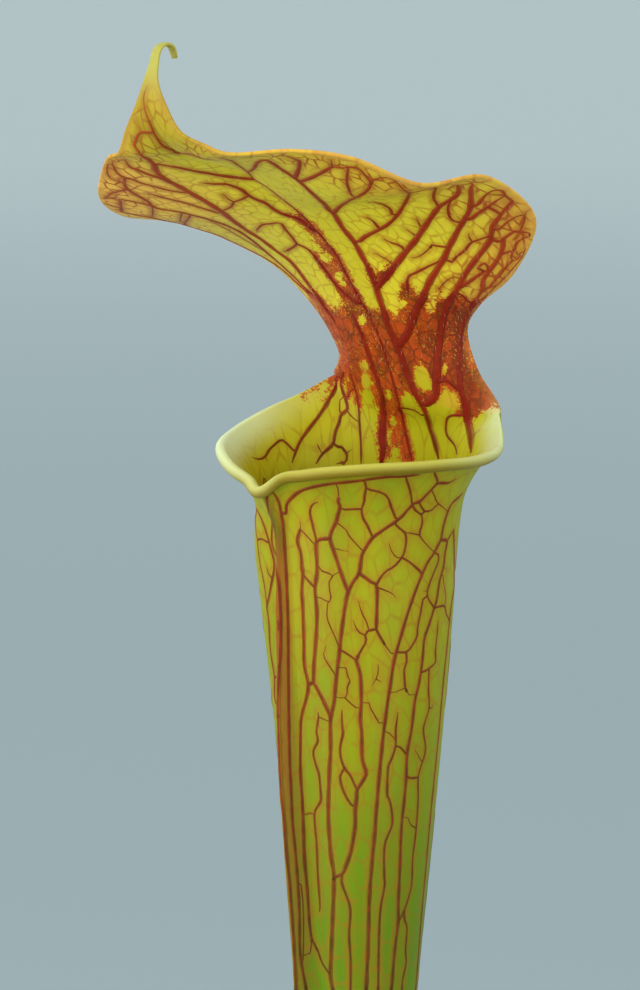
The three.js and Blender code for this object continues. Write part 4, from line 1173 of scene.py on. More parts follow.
def makePitcherSkin():
    material, tree = newMaterial("pitcher_skin")
    point = tree.point()
    names = "level across lip roll red bright gap wing side hood pale vein veinGap".split()
    level, across, lip, roll, red, bright, gap, wing, side, hood, pale, vein, veinGap = map(tree.attribute, names)
    inside = tree.ramp(side, 0.1, -0.1)
    grain, furrow = leafGrain(tree, point)
    patches = tree.noise(tree.point((1, 1, 0.35)), 55, 3)
    colour = tree.mix(tree.ramp(patches, 0.38, 0.66), leafPaint["tube"], leafPaint["tubeGreen"])
    colour = tree.mix(tree.ramp(level, -18, -106), colour, leafPaint["tubeDeep"])
    colour = tree.mix(tree.ramp(level, -106, -260), colour, leafPaint["tubeLow"])
    colour = tree.mix(tree.times(inside, 0.8), colour, leafPaint["inside"])
    colour = tree.mix(hood, colour, leafPaint["hood"])
    colour = tree.mix(tree.times(furrow, 0.12), colour, leafPaint["tubeGreen"])
    warmth = tree.times(tree.ramp(gap, 19, 1, 0, 0.75), tree.ramp(tree.noise(point, 90, 3), 0.34, 0.62, 0.4, 1))
    warmPart = tree.larger(tree.ramp(level, tipLevel - 50, tipLevel - 28, 1, 0.35), tree.ramp(across, -6, -16))
    warmth = tree.times(warmth, warmPart)
    # the left lobe's own orange, painted brighter as a painted light on a lobe that lies in shade
    lobe = tree.times(tree.ramp(across, -2, -16, 0, 0.6), tree.ramp(level, tipLevel - 84, tipLevel - 46))
    colour = tree.mix(warmth, colour, leafPaint["warm"])
    colour = tree.mix(tree.times(lobe, tree.ramp(patches, 0.3, 0.6, 0.9, 1.3)), colour, leafPaint["lobe"])
    colour = tree.mix(tree.times(bright, 0.5), colour, leafPaint["bright"])
    # fine veinlets between the raised veins, thickest towards the hood's margin
    calm = tree.without(tree.larger(tree.times(bright, 0.25), lip))
    faint = tree.times(tree.ramp(tree.noise(point, 210, 2), 0.36, 0.6, 0.3, 1), calm)
    hoodNet = tree.times(veinlets(tree, across, level, *veinletForm["hood"]), tree.times(hood, faint))
    tubeFine = tree.times(veinlets(tree, across, level, *veinletForm["tube"]), tree.times(faint, 0.4))
    colour = tree.mix(tree.times(tubeFine, tree.without(hood)), colour, leafPaint["faint"])
    colour = tree.mix(tree.times(hoodNet, tree.ramp(gap, 18, 3, 0.4, 0.95)), colour, leafPaint["veinlet"])
    stain = tree.times(tree.ramp(veinGap, 2.0, 0.3), tree.mixValue(hood, 0.3, 0.85))
    colour = tree.mix(tree.times(stain, calm), colour, leafPaint["veinlet"])
    # red that runs along the veins and breaks up into dots at its edges
    coarse = tree.noise(tree.point((1, 1, 0.6)), 190, 3, 0.6)
    middle, fine = tree.noise(point, 800, 2, 0.7), tree.noise(point, 2400, 1)
    spots = tree.calc("MULTIPLY_ADD", coarse, 0.9, tree.calc("MULTIPLY_ADD", middle, 0.8, tree.times(fine, 0.9)))
    creep = tree.ramp(veinGap, 3.2, 0.2, -0.14, 0.3)
    drive = tree.plus(red, tree.plus(creep, tree.calc("SUBTRACT", spots, 1.3)))
    pinholes = tree.times(tree.ramp(fine, 0.61, 0.68), tree.ramp(tree.noise(point, 130, 2), 0.42, 0.58))
    blotch = tree.times(tree.ramp(drive, 0.42, 0.58), tree.ramp(red, 0.02, 0.16))
    blotch = tree.spared(blotch, pinholes, 0.7)
    mottle = tree.noise(tree.point((1, 1, 0.5)), 240, 4, 0.68)
    deeper = tree.plus(tree.ramp(veinGap, 1.5, 0.2, 0, 0.5), tree.ramp(across, 5, 18, 0, 0.5))
    depth = tree.plus(tree.ramp(mottle, 0.42, 0.6, 0, 0.75), deeper, clamp=True)
    depth = tree.times(depth, tree.ramp(drive, 0.46, 0.9, 0.1, 1))
    redNet = veinlets(tree, across, level, *veinletForm["red"])
    redNet = tree.times(redNet, tree.ramp(drive, 0.5, 0.8, 0.1, 0.65))
    redColour = tree.mix(tree.plus(depth, redNet, clamp=True), leafPaint["orange"], leafPaint["red"])
    colour = tree.mix(tree.times(blotch, 0.94), colour, redColour)
    edge = tree.times(tree.ramp(gap, 1.7, 0.2), tree.ramp(tree.noise(point, 420, 2), 0.36, 0.6, 0.4, 0.9))
    edge = tree.spared(edge, blotch, 0.75)
    colour = tree.mix(edge, colour, leafPaint["margin"])
    # painted shade: the hood's tip is painted darker towards its end
    colour = tree.mix(tree.ramp(level, tipLevel - 42, tipLevel - 20, 0, 0.7), colour, leafPaint["tip"])
    colour = tree.mix(tree.ramp(level, tipLevel - 18, tipLevel - 9), colour, leafPaint["hook"])
    ridge = tree.times(wing, tree.ramp(tree.noise(tree.point((1, 1, 0.1)), 320, 2), 0.3, 0.6, 0.65, 1))
    wingColour = tree.mix(tree.ramp(level, -30, -110), leafPaint["wing"], leafPaint["wingLow"])
    wingColour = tree.mix(tree.ramp(level, -22, -5), wingColour, leafPaint["shade"])
    colour = tree.mix(ridge, colour, wingColour)
    # painted shade: the lip's roll is painted darker towards its underside, as light from above would leave it
    rollShade = tree.spared(tree.ramp(side, -0.5, 0.25), pale, 0.6)
    lipColour = tree.mix(rollShade, tree.mix(pale, leafPaint["lip"], leafPaint["lipPale"]), leafPaint["lipUnder"])
    lipShare = tree.larger(tree.times(lip, tree.mixValue(pale, 0.2, 0.9)), roll)
    lipShare = tree.spared(lipShare, blotch, 0.8)
    colour = tree.mix(lipShare, colour, lipColour)
    veinColour = tree.mix(tree.ramp(level, -36, -110), leafPaint["vein"], leafPaint["veinLow"])
    veinColour = tree.mix(hood, veinColour, leafPaint["veinHood"])
    # in the left lobe the brighter vein colour is painted light, standing in for light on veins that lie in shade
    veinColour = tree.mix(tree.larger(tree.ramp(gap, 11, 1, 0, 0.6), lobe), veinColour, leafPaint["veinFar"])
    veinColour = tree.mix(blotch, veinColour, leafPaint["veinRed"])
    veinColour = tree.mix(tree.ramp(tree.noise(point, 400, 2), 0.35, 0.7, 0, 0.2), veinColour, leafPaint["orange"])
    colour = tree.mix(tree.times(vein, 0.97), colour, veinColour)
    relief = tree.plus(grain, tree.times(hoodNet, 0.5))
    tree.surface({
        "Base Color": colour, "Roughness": tree.ramp(grain, 0.3, 0.7, 0.46, 0.6),
        "Normal": tree.bump(relief, 0.25, 0.0004), "Specular IOR Level": 0.16, "Subsurface Weight": 0.4,
        "Subsurface Radius": (1.0, 0.78, 0.12), "Subsurface Scale": 0.0013,
    })
    return material


pitcherSkin = makePitcherSkin()


def placePoints(points, place):
    return points @ place[0].T * mm + place[1]


def addPitcher(name, leaf, place, makeVeins, makeZones):
    grids = leafGrids(leaf)
    grids.update(makeZones(grids, place))
    points, faces, params = leafMesh(grids)
    veins = makeVeins(grids, points, faces, params)
    masks = leafMasks(grids, params[:, 0], params[:, 1], params[:, 2], params[:, 3])
    masks["vein"] = np.zeros(len(points))
    tree, _ = nearbyTree(grids, veins)
    away = np.array([tree.find(Vector(p))[2] for p in points]) / leaf["scale"] ** 0.6
    masks["veinGap"] = away + 6 * masks["roll"]  # mm from the nearest vein
    skin = makePiece(name + "_leaf", placePoints(points, place), faces, pitcherSkin, masks)
    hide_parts(name)
    for side, label in ((1, "_outer_veins"), (-1, "_inner_veins")):
        chosen = veins
        if side < 0:
            chosen = [v for v in veins if grids["levels"][int(v[0][:, 0].min())] > leaf["innerVeinsFrom"]]
        ribbon, ribbonFaces, vein, path = veinMesh(grids, chosen, side)
        masks = leafMasks(grids, path[:, 0], path[:, 1], np.full(len(path), side), np.zeros(len(path)))
        masks["vein"], masks["veinGap"] = vein, np.zeros(len(path))
        makePiece(name + label, placePoints(ribbon, place), ribbonFaces, pitcherSkin, masks)
    print(name, "points", len(points), "veins", len(veins))
    return grids, veins, skin


mainPitcher = {
    "scale": 1, "tubeStretch": 1, "frontSteps": 52, "rearSteps": 84, "wingCrowding": 1.25, "tubeRows": 150,
    "rimCrowding": 1.25, "hoodRows": 130, "beadSteps": 10, "cavityFloor": -245, "thickness": 0.9, "innerVeinsFrom": -60,
    "veinScale": 1,
}
mainPlace = (np.eye(3), np.array([0, 0, photoView["mouthLevel"]]))
mainGrids, mainVeinList, mainLeaf = addPitcher("pitcher_main", mainPitcher, mainPlace, mainVeins, zonesFromPhoto)

secondPitcher = {
    "scale": 0.47, "tubeStretch": 0.74, "frontSteps": 34, "rearSteps": 36, "wingCrowding": 1.2, "tubeRows": 80,
    "rimCrowding": 1.25, "hoodRows": 64, "beadSteps": 8, "cavityFloor": -230, "thickness": 0.8, "innerVeinsFrom": -40,
    "veinScale": 0.62,
}
leafFootLevel = 105
secondStand = {"at": (-20, -8), "turn": 150, "lean": 14, "lift": 0.6}


def secondPlace():
    turn, lean = math.radians(secondStand["turn"]), math.radians(-secondStand["lean"])
    spin = np.array(Matrix.Rotation(turn, 3, "Z") @ Matrix.Rotation(lean, 3, "X"))
    top = leafForm["tubeTop"]
    footLevel = top + (leafForm["tubeFoot"] - top) * secondPitcher["tubeStretch"]
    foot = spin @ np.array([0, leafForm["stemLean"], footLevel]) * secondPitcher["scale"]
    return spin, (np.array([*secondStand["at"], leafFootLevel + secondStand["lift"]]) - foot) * mm


def zonesFromMain(grids, _):  # the tall pitcher's colour zones, the other way round
    turns = columnTurns(mainGrids)
    levels, mirrored = np.meshgrid(grids["levels"], wrapped(-grids["degrees"]), indexing="ij")
    row = np.interp(levels.ravel(), mainGrids["levels"], np.arange(len(mainGrids["levels"])))
    column = np.interp(mirrored.ravel(), turns, np.arange(len(turns)))
    return {
        name: sampleGrid(mainGrids[name][..., None], row, column)[:, 0].reshape(levels.shape)
        for name in zoneSoftness
    }


*_, secondLeaf = addPitcher("pitcher_second", secondPitcher, secondPlace(), secondVeins, zonesFromMain)

# Unopened pitchers and sword leaves

youngOutline = [  # share of the height, of the width, of the depth
    (0.0, 0.36, 0.36), (0.12, 0.37, 0.34), (0.3, 0.46, 0.36), (0.5, 0.62, 0.42), (0.68, 0.82, 0.5), (0.8, 0.97, 0.56),
    (0.865, 1.0, 0.56), (0.9, 0.93, 0.5), (0.94, 0.8, 0.42), (0.97, 0.55, 0.3), (0.988, 0.3, 0.2), (1.0, 0.09, 0.09),
]
swordOutline = [
    (0.0, 0.36, 0.36), (0.07, 0.4, 0.32), (0.2, 0.62, 0.24), (0.36, 0.86, 0.2), (0.52, 1.0, 0.18), (0.66, 0.96, 0.17),
    (0.8, 0.76, 0.15), (0.9, 0.48, 0.13), (0.96, 0.26, 0.11), (1.0, 0.1, 0.09),
]
youngPitchers = [
    {"name": "pitcher_young_tall", "at": (12.5, -9), "turn": 35, "lean": 13, "height": 128, "width": 7.2},
    {"name": "pitcher_young_short", "at": (-3, -13.5), "turn": 340, "lean": 15, "height": 78, "width": 5.2},
]
swordLeaves = [
    {"name": "sword_leaf_right", "at": (13.5, 1.5), "turn": 80, "lean": 17, "height": 132, "width": 6.5},
    {"name": "sword_leaf_left", "at": (-14, 1), "turn": 262, "lean": 22, "height": 112, "width": 5.8},
    {"name": "sword_leaf_back", "at": (7, 9.5), "turn": 150, "lean": 26, "height": 96, "width": 5.4},
]


def leafAxis(leaf, bend, h):  # how far the leaf's middle has leaned out at a share of its height
    lean = math.tan(math.radians(leaf["lean"])) * leaf["height"]
    return lean * (0.72 * smooth(h * 1.15) * h + bend * h * h)


def ringedMesh(rings):  # rings: (row, place round, xyz), closed at both ends by a point
    rows, sides = rings.shape[:2]
    points = [p for ring in rings for p in ring] + [rings[0].mean(axis=0), rings[-1].mean(axis=0)]
    faces = []
    for r in range(rows - 1):
        for i in range(sides):
            a, b = r * sides + i, r * sides + (i + 1) % sides
            faces.append((a, b, b + sides, a + sides))
    low, high, top = rows * sides, rows * sides + 1, (rows - 1) * sides
    faces += [(low, (i + 1) % sides, i) for i in range(sides)]
    faces += [(high, top + i, top + (i + 1) % sides) for i in range(sides)]
    return np.array(points), faces


def addYoungLeaf(leaf, outline, bend, rows, sides, shape, material):
    table = np.array(outline)
    h = (1 - (1 - np.arange(rows + 1) / rows) ** 1.15)[:, None]
    around = (np.arange(sides) / sides * 2 * math.pi)[None]
    wide, deep = cubicThrough(table[:, 0], table[:, 1:], h[:, 0]).T * leaf["width"]
    x, y = wide[:, None] * np.cos(around), deep[:, None] * np.sin(around)
    x, y = shape(h, around, x, y, wide[:, None], deep[:, None])
    turn = math.radians(leaf["turn"])
    out = leafAxis(leaf, bend, h)
    px = leaf["at"][0] + out * math.sin(turn) + x * math.cos(turn) - y * math.sin(turn)
    py = leaf["at"][1] - out * math.cos(turn) + x * math.sin(turn) + y * math.cos(turn)
    pz = leafFootLevel + leaf["height"] * h + 0 * x
    points, faces = ringedMesh(np.stack([px, py, pz], -1))
    ends = [np.array([v[0].mean(), v[-1].mean()]) for v in (x, y, h + 0 * x)]
    across, front, along = (np.concatenate([v.ravel(), e]) for v, e in zip((x, y, h + 0 * x), ends))
    piece = makePiece(leaf["name"] + "_leaf", points * mm, faces, material,
                      {"across": across, "front": front, "along": along})
    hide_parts(leaf["name"])


def youngShape(h, a, x, y, wide, deep):  # a wing towards the crown, and the folded hood's seam above
    wing = np.exp(-(((a - math.pi / 2) * wide / 0.9) ** 2)) * smooth(h / 0.15) * smooth((0.9 - h) / 0.2)
    seam = np.exp(-(((a - math.pi * 1.5) * wide / 1.1) ** 2)) * smooth((h - 0.82) / 0.05) * smooth((1 - h) / 0.06)
    lip = 0.35 * np.exp(-(((h - 0.868) / 0.009) ** 2))
    grow = 1 + lip * 0.6 / np.maximum(wide, 1)
    return x * grow, y * grow + 1.1 * wing - 0.45 * seam * deep


def swordShape(h, a, x, y, wide, deep):  # edges turned in towards the crown, and a keel along the back
    fold = 0.9 * (np.abs(x) / np.maximum(wide, 0.1)) ** 2 * smooth(h / 0.3)
    keel = np.exp(-((x / 0.55) ** 2)) * (np.sin(a) < 0) * 0.55 * smooth(h / 0.2) * smooth((1 - h) / 0.1)
    return x, y + fold * np.minimum(1, wide / 3) - keel


youngPaint = paints(
    green=(124, 146, 18), fresh=(158, 166, 30), foot=(112, 48, 26), vein=(134, 52, 18),
    sword=(72, 104, 18), swordLight=(104, 130, 28), tip=(132, 84, 30),
)


def makeYoungSkin(name, base, light, veinShare, stripeScale, tipFrom):
    material, tree = newMaterial(name)
    across, front, along = (tree.attribute(n) for n in ("across", "front", "along"))
    point = tree.point()
    grain, _ = leafGrain(tree, point)
    lie = tree.add("ShaderNodeCombineXYZ", {0: across, 1: front, 2: tree.times(along, 1.6)}).outputs[0]
    stripes = tree.noise(lie, stripeScale, 2, 0.6)
    colour = tree.mix(tree.ramp(tree.noise(point, 90), 0.35, 0.65), base, light)
    vein = tree.times(tree.ramp(stripes, 0.6, 0.68), veinShare)
    vein = tree.times(vein, tree.ramp(along, 0.1, 0.6))
    colour = tree.mix(vein, colour, youngPaint["vein"])
    colour = tree.mix(tree.ramp(along, 0.2, 0.02, 0, 0.85), colour, youngPaint["foot"])
    colour = tree.mix(tree.ramp(along, tipFrom, 1.01, 0, 0.8), colour, youngPaint["tip"])
    height = tree.plus(tree.times(grain, 0.4), stripes)
    tree.surface({
        "Base Color": colour, "Roughness": tree.ramp(grain, 0.3, 0.7, 0.38, 0.5),
        "Normal": tree.bump(height, 0.3, 0.0004), "Specular IOR Level": 0.25, "Subsurface Weight": 0.3,
        "Subsurface Radius": (0.9, 0.8, 0.2), "Subsurface Scale": 0.0015,
    })
    return material


youngSkin = makeYoungSkin("young_skin", youngPaint["green"], youngPaint["fresh"], 0.75, 1.1, 0.93)
swordSkin = makeYoungSkin("sword_skin", youngPaint["sword"], youngPaint["swordLight"], 0.25, 1.6, 0.95)
for leaf in youngPitchers:
    addYoungLeaf(leaf, youngOutline, 0.2, 96, 64, youngShape, youngSkin)
for leaf in swordLeaves:
    addYoungLeaf(leaf, swordOutline, 0.5, 84, 48, swordShape, swordSkin)
print("young leaves done")

# Pot

potForm = {
    "height": 120, "mouthRadius": 75, "footRadius": 53, "wall": 2.2, "floor": 3, "bandHeight": 19, "bandStep": 2.6,
    "lip": 1.2, "drainHoles": 8, "drainRadius": 4.5, "drainCircle": 38, "sides": 160,
}
bandFoot = potForm["height"] - potForm["bandHeight"]
wallSlope = (potForm["mouthRadius"] - potForm["bandStep"] - potForm["footRadius"]) / bandFoot


def potOutside(z):
    return potForm["footRadius"] + wallSlope * z


def potInside(z):
    return potOutside(z) - potForm["wall"]


def arc(centre, radius, start, end, steps):  # degrees, in the profile's own plane
    turns = [math.radians(start + (end - start) * k / steps) for k in range(steps + 1)]
    return [(centre[0] + radius * math.cos(t), centre[1] + radius * math.sin(t)) for t in turns]


def turnedMesh(profile, sides):  # a solid of revolution; the profile starts and ends on the axis
    points, faces, rings = [], [], []
    for r, z in profile:
        if r < 1e-6:
            rings.append([len(points)] * sides)
            points.append((0, 0, z))
        else:
            rings.append(list(range(len(points), len(points) + sides)))
            turns = [2 * math.pi * i / sides for i in range(sides)]
            points += [(r * math.cos(t), r * math.sin(t), z) for t in turns]
    for low, high in zip(rings, rings[1:]):
        for i in range(sides):
            k = (i + 1) % sides
            faces.append(tuple(dict.fromkeys((low[i], low[k], high[k], high[i]))))
    return np.array(points), faces


def potProfile():
    f, lip = potForm, potForm["lip"]
    profile = [(0, 0)] + [(r, 0) for r in (30, 34)] + arc((potOutside(1.5) - 1.5, 1.5), 1.5, -90, 0, 6)
    profile += [(potOutside(z), z) for z in np.linspace(5, bandFoot - 1.2, 22)]
    profile += [(potOutside(bandFoot), bandFoot - 0.4), (potOutside(bandFoot) + 0.5, bandFoot)]
    profile += arc((f["mouthRadius"] - 1.3, bandFoot + 1.2), 1, -90, 0, 5)
    profile += [(f["mouthRadius"] - 0.3, bandFoot + 3), (f["mouthRadius"] - 0.1, f["height"] - 6)]
    profile += arc((f["mouthRadius"] - lip, f["height"] - lip), lip, 0, 90, 6)
    profile += arc((f["mouthRadius"] - f["wall"] + 0.3, f["height"] - 0.9), 0.9, 90, 180, 6)
    profile += [(f["mouthRadius"] - f["wall"] - 0.8, f["height"] - 5),
                (potInside(bandFoot) + f["bandStep"] - 0.6, bandFoot + 2.6)]
    profile += [(potInside(bandFoot) + 0.8, bandFoot + 0.6), (potInside(bandFoot), bandFoot - 0.6)]
    profile += [(potInside(z), z) for z in np.linspace(bandFoot - 5, f["floor"] + 2, 8)]
    return profile + [(potInside(f["floor"]) - 1.5, f["floor"]), (34, f["floor"]), (30, f["floor"]), (0, f["floor"])]


potPaint = paints(plastic=(150, 82, 58), worn=(176, 112, 84), stain=(196, 186, 168), damp=(96, 56, 42))


def makePotPlastic():
    material, tree = newMaterial("pot_plastic")
    point = tree.point()
    height = tree.add("ShaderNodeSeparateXYZ", {0: point}).outputs[2]
    colour = tree.mix(tree.ramp(tree.noise(point, 26, 4), 0.35, 0.7, 0, 0.55), potPaint["plastic"], potPaint["worn"])
    film = tree.noise(tree.point((1, 1, 0.25)), 70, 4, 0.65)
    lowFilm = tree.times(tree.ramp(height, 0.034, 0.002), tree.ramp(film, 0.42, 0.7, 0, 0.55))
    rimFilm = tree.times(tree.ramp(height, 0.104, 0.121), tree.ramp(film, 0.5, 0.72, 0, 0.4))
    colour = tree.mix(tree.larger(lowFilm, rimFilm), colour, potPaint["stain"])
    # darker towards the bottom of the pot
    colour = tree.mix(tree.ramp(height, 0.03, 0.0, 0, 0.3), colour, potPaint["damp"])
    fine = tree.noise(point, 2200, 2)
    scuffs = tree.noise(tree.point((1, 1, 0.12)), 300, 3)
    tree.surface({
        "Base Color": colour, "Roughness": tree.ramp(scuffs, 0.3, 0.7, 0.38, 0.6),
        "Normal": tree.bump(tree.plus(fine, scuffs), 0.25, 0.0003),
    })
    return material


potPlastic = makePotPlastic()
points, faces = turnedMesh(potProfile(), potForm["sides"])
pot = makePiece("pot_body", points * mm, faces, potPlastic)
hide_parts("pot")


def cutRound(piece, places, radius, low, high):  # plain holes straight down through a piece
    tool = bmesh.new()
    for x, y in places:
        middle = Vector((x, y, (low + high) / 2)) * mm
        bmesh.ops.create_cone(tool, cap_ends=True, segments=32, radius1=radius * mm, radius2=radius * mm,
                              depth=(high - low) * mm, matrix=Matrix.Translation(middle))
    drill = addObject("drill", meshFrom("drill", tool))
    cut = piece.modifiers.new("cut", "BOOLEAN")
    cut.operation, cut.object, cut.solver = "DIFFERENCE", drill, "EXACT"
    settle(piece)
    bpy.data.objects.remove(drill)


turns = [(i + 0.5) / potForm["drainHoles"] * 2 * math.pi for i in range(potForm["drainHoles"])]
circle = potForm["drainCircle"]
cutRound(pot, [(circle * math.cos(t), circle * math.sin(t)) for t in turns], potForm["drainRadius"], -2, 5)
print("pot faces", len(pot.data.polygons))

# Soil and rhizome

soilForm = {"edgeLevel": 105, "moundRise": 4.5, "roughness": 1.1, "rings": 84, "sides": 200, "play": 0.3, "crumb": 0.9}


def ripple(a, b):  # low waves that aren't the same twice
    broad, middle, fine = a * 1.7 + b * 2.3 + 0.6, a * 3.9 - b * 3.1 + 2.1, a * 7.3 + b * 6.1
    return 0.5 * math.sin(broad) + 0.3 * math.sin(middle) + 0.2 * math.sin(fine)


def soilTop(x, y):
    share = min(1, math.hypot(x, y) / potInside(soilForm["edgeLevel"]))
    level = soilForm["edgeLevel"] + soilForm["moundRise"] * (1 - share * share)
    level += ripple(x / 7, y / 7) * soilForm["roughness"] * (1 - share ** 8)
    clod = noise.fractal(Vector((x, y, 3)) / 4.5, 0.9, 2.0, 4)
    level += soilForm["crumb"] * clod * (1 - share ** 20)
    return level


def soilMesh():
    bottom = potForm["floor"] + soilForm["play"]
    points, faces, rings = [(0, 0, bottom)], [], []
    sides = soilForm["sides"]
    edge = potInside(soilForm["edgeLevel"]) - soilForm["play"]
    radii = [(potInside(z) - soilForm["play"], z) for z in (bottom, 30, 60, 90, soilForm["edgeLevel"])]
    radii += [(edge * (k - 0.5) / soilForm["rings"], None) for k in range(soilForm["rings"], 0, -1)]
    for radius, z in radii:
        rings.append(list(range(len(points), len(points) + sides)))
        for i in range(sides):
            turn = 2 * math.pi * i / sides
            x, y = radius * math.cos(turn), radius * math.sin(turn)
            points.append((x, y, soilTop(x, y) if z is None else z))
    for low, high in zip(rings, rings[1:]):
        faces += [(low[i], low[(i + 1) % sides], high[(i + 1) % sides], high[i]) for i in range(sides)]
    points.append((0, 0, soilTop(0, 0)))
    faces += [(0, rings[0][(i + 1) % sides], rings[0][i]) for i in range(sides)]
    faces += [(len(points) - 1, rings[-1][i], rings[-1][(i + 1) % sides]) for i in range(sides)]
    return np.array(points), faces


groundPaint = paints(
    peat=(66, 47, 32), peatLight=(112, 84, 56), peatDark=(34, 24, 17), perlite=(226, 224, 214),
    bark=(108, 78, 48), barkDark=(64, 42, 26), moss=(128, 148, 58), mossPale=(188, 190, 116),
)


def makeGroundMaterial(name, dark, middle, light, scale, roughness, bumpSize):
    material, tree = newMaterial(name)
    point = tree.point()
    cloud = tree.noise(point, scale, 5, 0.65)
    colour = tree.mix(tree.ramp(cloud, 0.36, 0.52), dark, middle)
    colour = tree.mix(tree.ramp(cloud, 0.55, 0.72), colour, light)
    tree.surface({
        "Base Color": colour, "Roughness": roughness, "Specular IOR Level": 0.25,
        "Normal": tree.bump(tree.noise(point, scale * 4, 4), 0.6, bumpSize),
    })
    return material


peat = makeGroundMaterial("peat", groundPaint["peatDark"], groundPaint["peat"], groundPaint["peatLight"], 420, 0.95,
                          0.0008)
bark = makeGroundMaterial("rhizome_bark", groundPaint["barkDark"], groundPaint["bark"], groundPaint["barkDark"], 260,
                          0.8, 0.0006)
points, faces = soilMesh()
soilPiece = makePiece("soil_fill", points * mm, faces, peat)
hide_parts("soil")
print("soil points", len(points))

crownForm = {
    "centre": (0, -1, 102), "size": (20, 16, 10), "oldEnd": (-42, 6, 100), "oldRadius": 8, "rootRadius": 1.5,
    "roots": [(10, 14, 46), (75, 22, 38), (140, 12, 52), (205, 24, 40), (265, 16, 48), (325, 26, 36)],
    "voxel": 0.8,
}


def addRod(body, start, end, startRadius, endRadius, segments, rounded=False):
    start, end = Vector(start), Vector(end)
    turn = (end - start).to_track_quat("Z", "Y").to_matrix().to_4x4()
    place = Matrix.Translation((start + end) / 2) @ turn
    bmesh.ops.create_cone(body, cap_ends=True, segments=segments, radius1=startRadius, radius2=endRadius,
                          depth=(end - start).length, matrix=place)
    if rounded:
        for at in (start, end):
            bmesh.ops.create_uvsphere(body, u_segments=24, v_segments=14, radius=startRadius,
                                      matrix=Matrix.Translation(at))


def addRhizome():
    body = bmesh.new()
    centre = Vector(crownForm["centre"])
    bmesh.ops.create_uvsphere(body, u_segments=48, v_segments=28, radius=1,
                              matrix=Matrix.Translation(centre) @ Matrix.Diagonal((*crownForm["size"], 1)))
    addRod(body, centre, crownForm["oldEnd"], crownForm["oldRadius"], crownForm["oldRadius"], 32, rounded=True)
    for turn, splay, length in crownForm["roots"]:
        out, tilt = math.radians(turn), math.radians(splay)
        head = centre + Vector((10 * math.cos(out), 7 * math.sin(out), -4))
        way = Vector((math.sin(tilt) * math.cos(out), math.sin(tilt) * math.sin(out), -math.cos(tilt)))
        addRod(body, head, head + way * length, crownForm["rootRadius"], 0.7 * crownForm["rootRadius"], 14)
    mesh = meshFrom("rhizome_bark", body)
    mesh.materials.append(bark)
    piece = addObject("rhizome_crown", mesh)
    skin = piece.modifiers.new("skin", "REMESH")
    skin.mode, skin.voxel_size, skin.use_smooth_shade = "VOXEL", crownForm["voxel"], True
    settle(piece)
    for v in piece.data.vertices:
        scale = noise.cell(Vector((v.co.x / 3.1, v.co.y / 3.1, v.co.z / 2.2))) - 0.5
        v.co += v.normal * (0.35 * scale + 0.4 * noise.noise(v.co / 2.4))
        v.co *= mm
    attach(piece, "root")
    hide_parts("rhizome")
    print("rhizome faces", len(piece.data.polygons))


addRhizome()

# Small things scattered over surfaces


def makeScatterTree():  # lumps on a surface, as thick as its own "cover" says
    group = bpy.data.node_groups.new("scatterOnSurface", "GeometryNodeTree")
    for name, kind in (
        ("Surface", "Geometry"), ("Seed", "Int"), ("Density", "Float"), ("Spacing", "Float"), ("Smallest", "Float"),
        ("Largest", "Float"), ("Lean", "Vector"), ("Tumble", "Float"), ("Lump", "Object"), ("Finish", "Material"),
    ):
        group.interface.new_socket(name, in_out="INPUT", socket_type="NodeSocket" + kind)
    group.interface.new_socket("Lumps", in_out="OUTPUT", socket_type="NodeSocketGeometry")
    tree = Wiring(group)
    given = tree.add("NodeGroupInput").outputs
    cover = tree.add("GeometryNodeInputNamedAttribute", {"Name": "cover"}, data_type="FLOAT").outputs["Attribute"]
    spread = tree.add("GeometryNodeDistributePointsOnFaces", {
        "Mesh": given["Surface"], "Distance Min": given["Spacing"], "Density Max": given["Density"],
        "Density Factor": cover, "Seed": given["Seed"],
    }, distribute_method="POISSON")
    aim = tree.add("ShaderNodeVectorMath", {0: spread.outputs["Normal"], 1: given["Lean"]}, operation="ADD").outputs[0]
    upright = tree.add("FunctionNodeAlignRotationToVector", {"Vector": aim}, axis="Z").outputs[0]
    most = tree.add("ShaderNodeCombineXYZ", {0: given["Tumble"], 1: given["Tumble"], 2: math.pi}).outputs[0]
    least = tree.add("ShaderNodeVectorMath", {0: most, 3: -1.0}, operation="SCALE").outputs[0]
    spin = tree.add("FunctionNodeRandomValue", {0: least, 1: most, "Seed": given["Seed"]}, data_type="FLOAT_VECTOR")
    turned = tree.add("FunctionNodeEulerToRotation", {0: spin.outputs[0]}).outputs[0]
    facing = tree.add("FunctionNodeRotateRotation", {0: upright, 1: turned}, rotation_space="LOCAL").outputs[0]
    sizes = {2: given["Smallest"], 3: given["Largest"], "Seed": given["Seed"]}
    size = tree.add("FunctionNodeRandomValue", sizes, data_type="FLOAT").outputs[1]
    lump = tree.add("GeometryNodeObjectInfo", {"Object": given["Lump"]}).outputs["Geometry"]
    placed = tree.add("GeometryNodeInstanceOnPoints", {
        "Points": spread.outputs["Points"], "Instance": lump, "Rotation": facing, "Scale": size,
    }).outputs[0]
    real = tree.add("GeometryNodeRealizeInstances", {0: placed}).outputs[0]
    finished = tree.add("GeometryNodeSetMaterial", {"Geometry": real, "Material": given["Finish"]}).outputs[0]
    tree.add("NodeGroupOutput", {"Lumps": finished})
    return group


scatterTree = makeScatterTree()


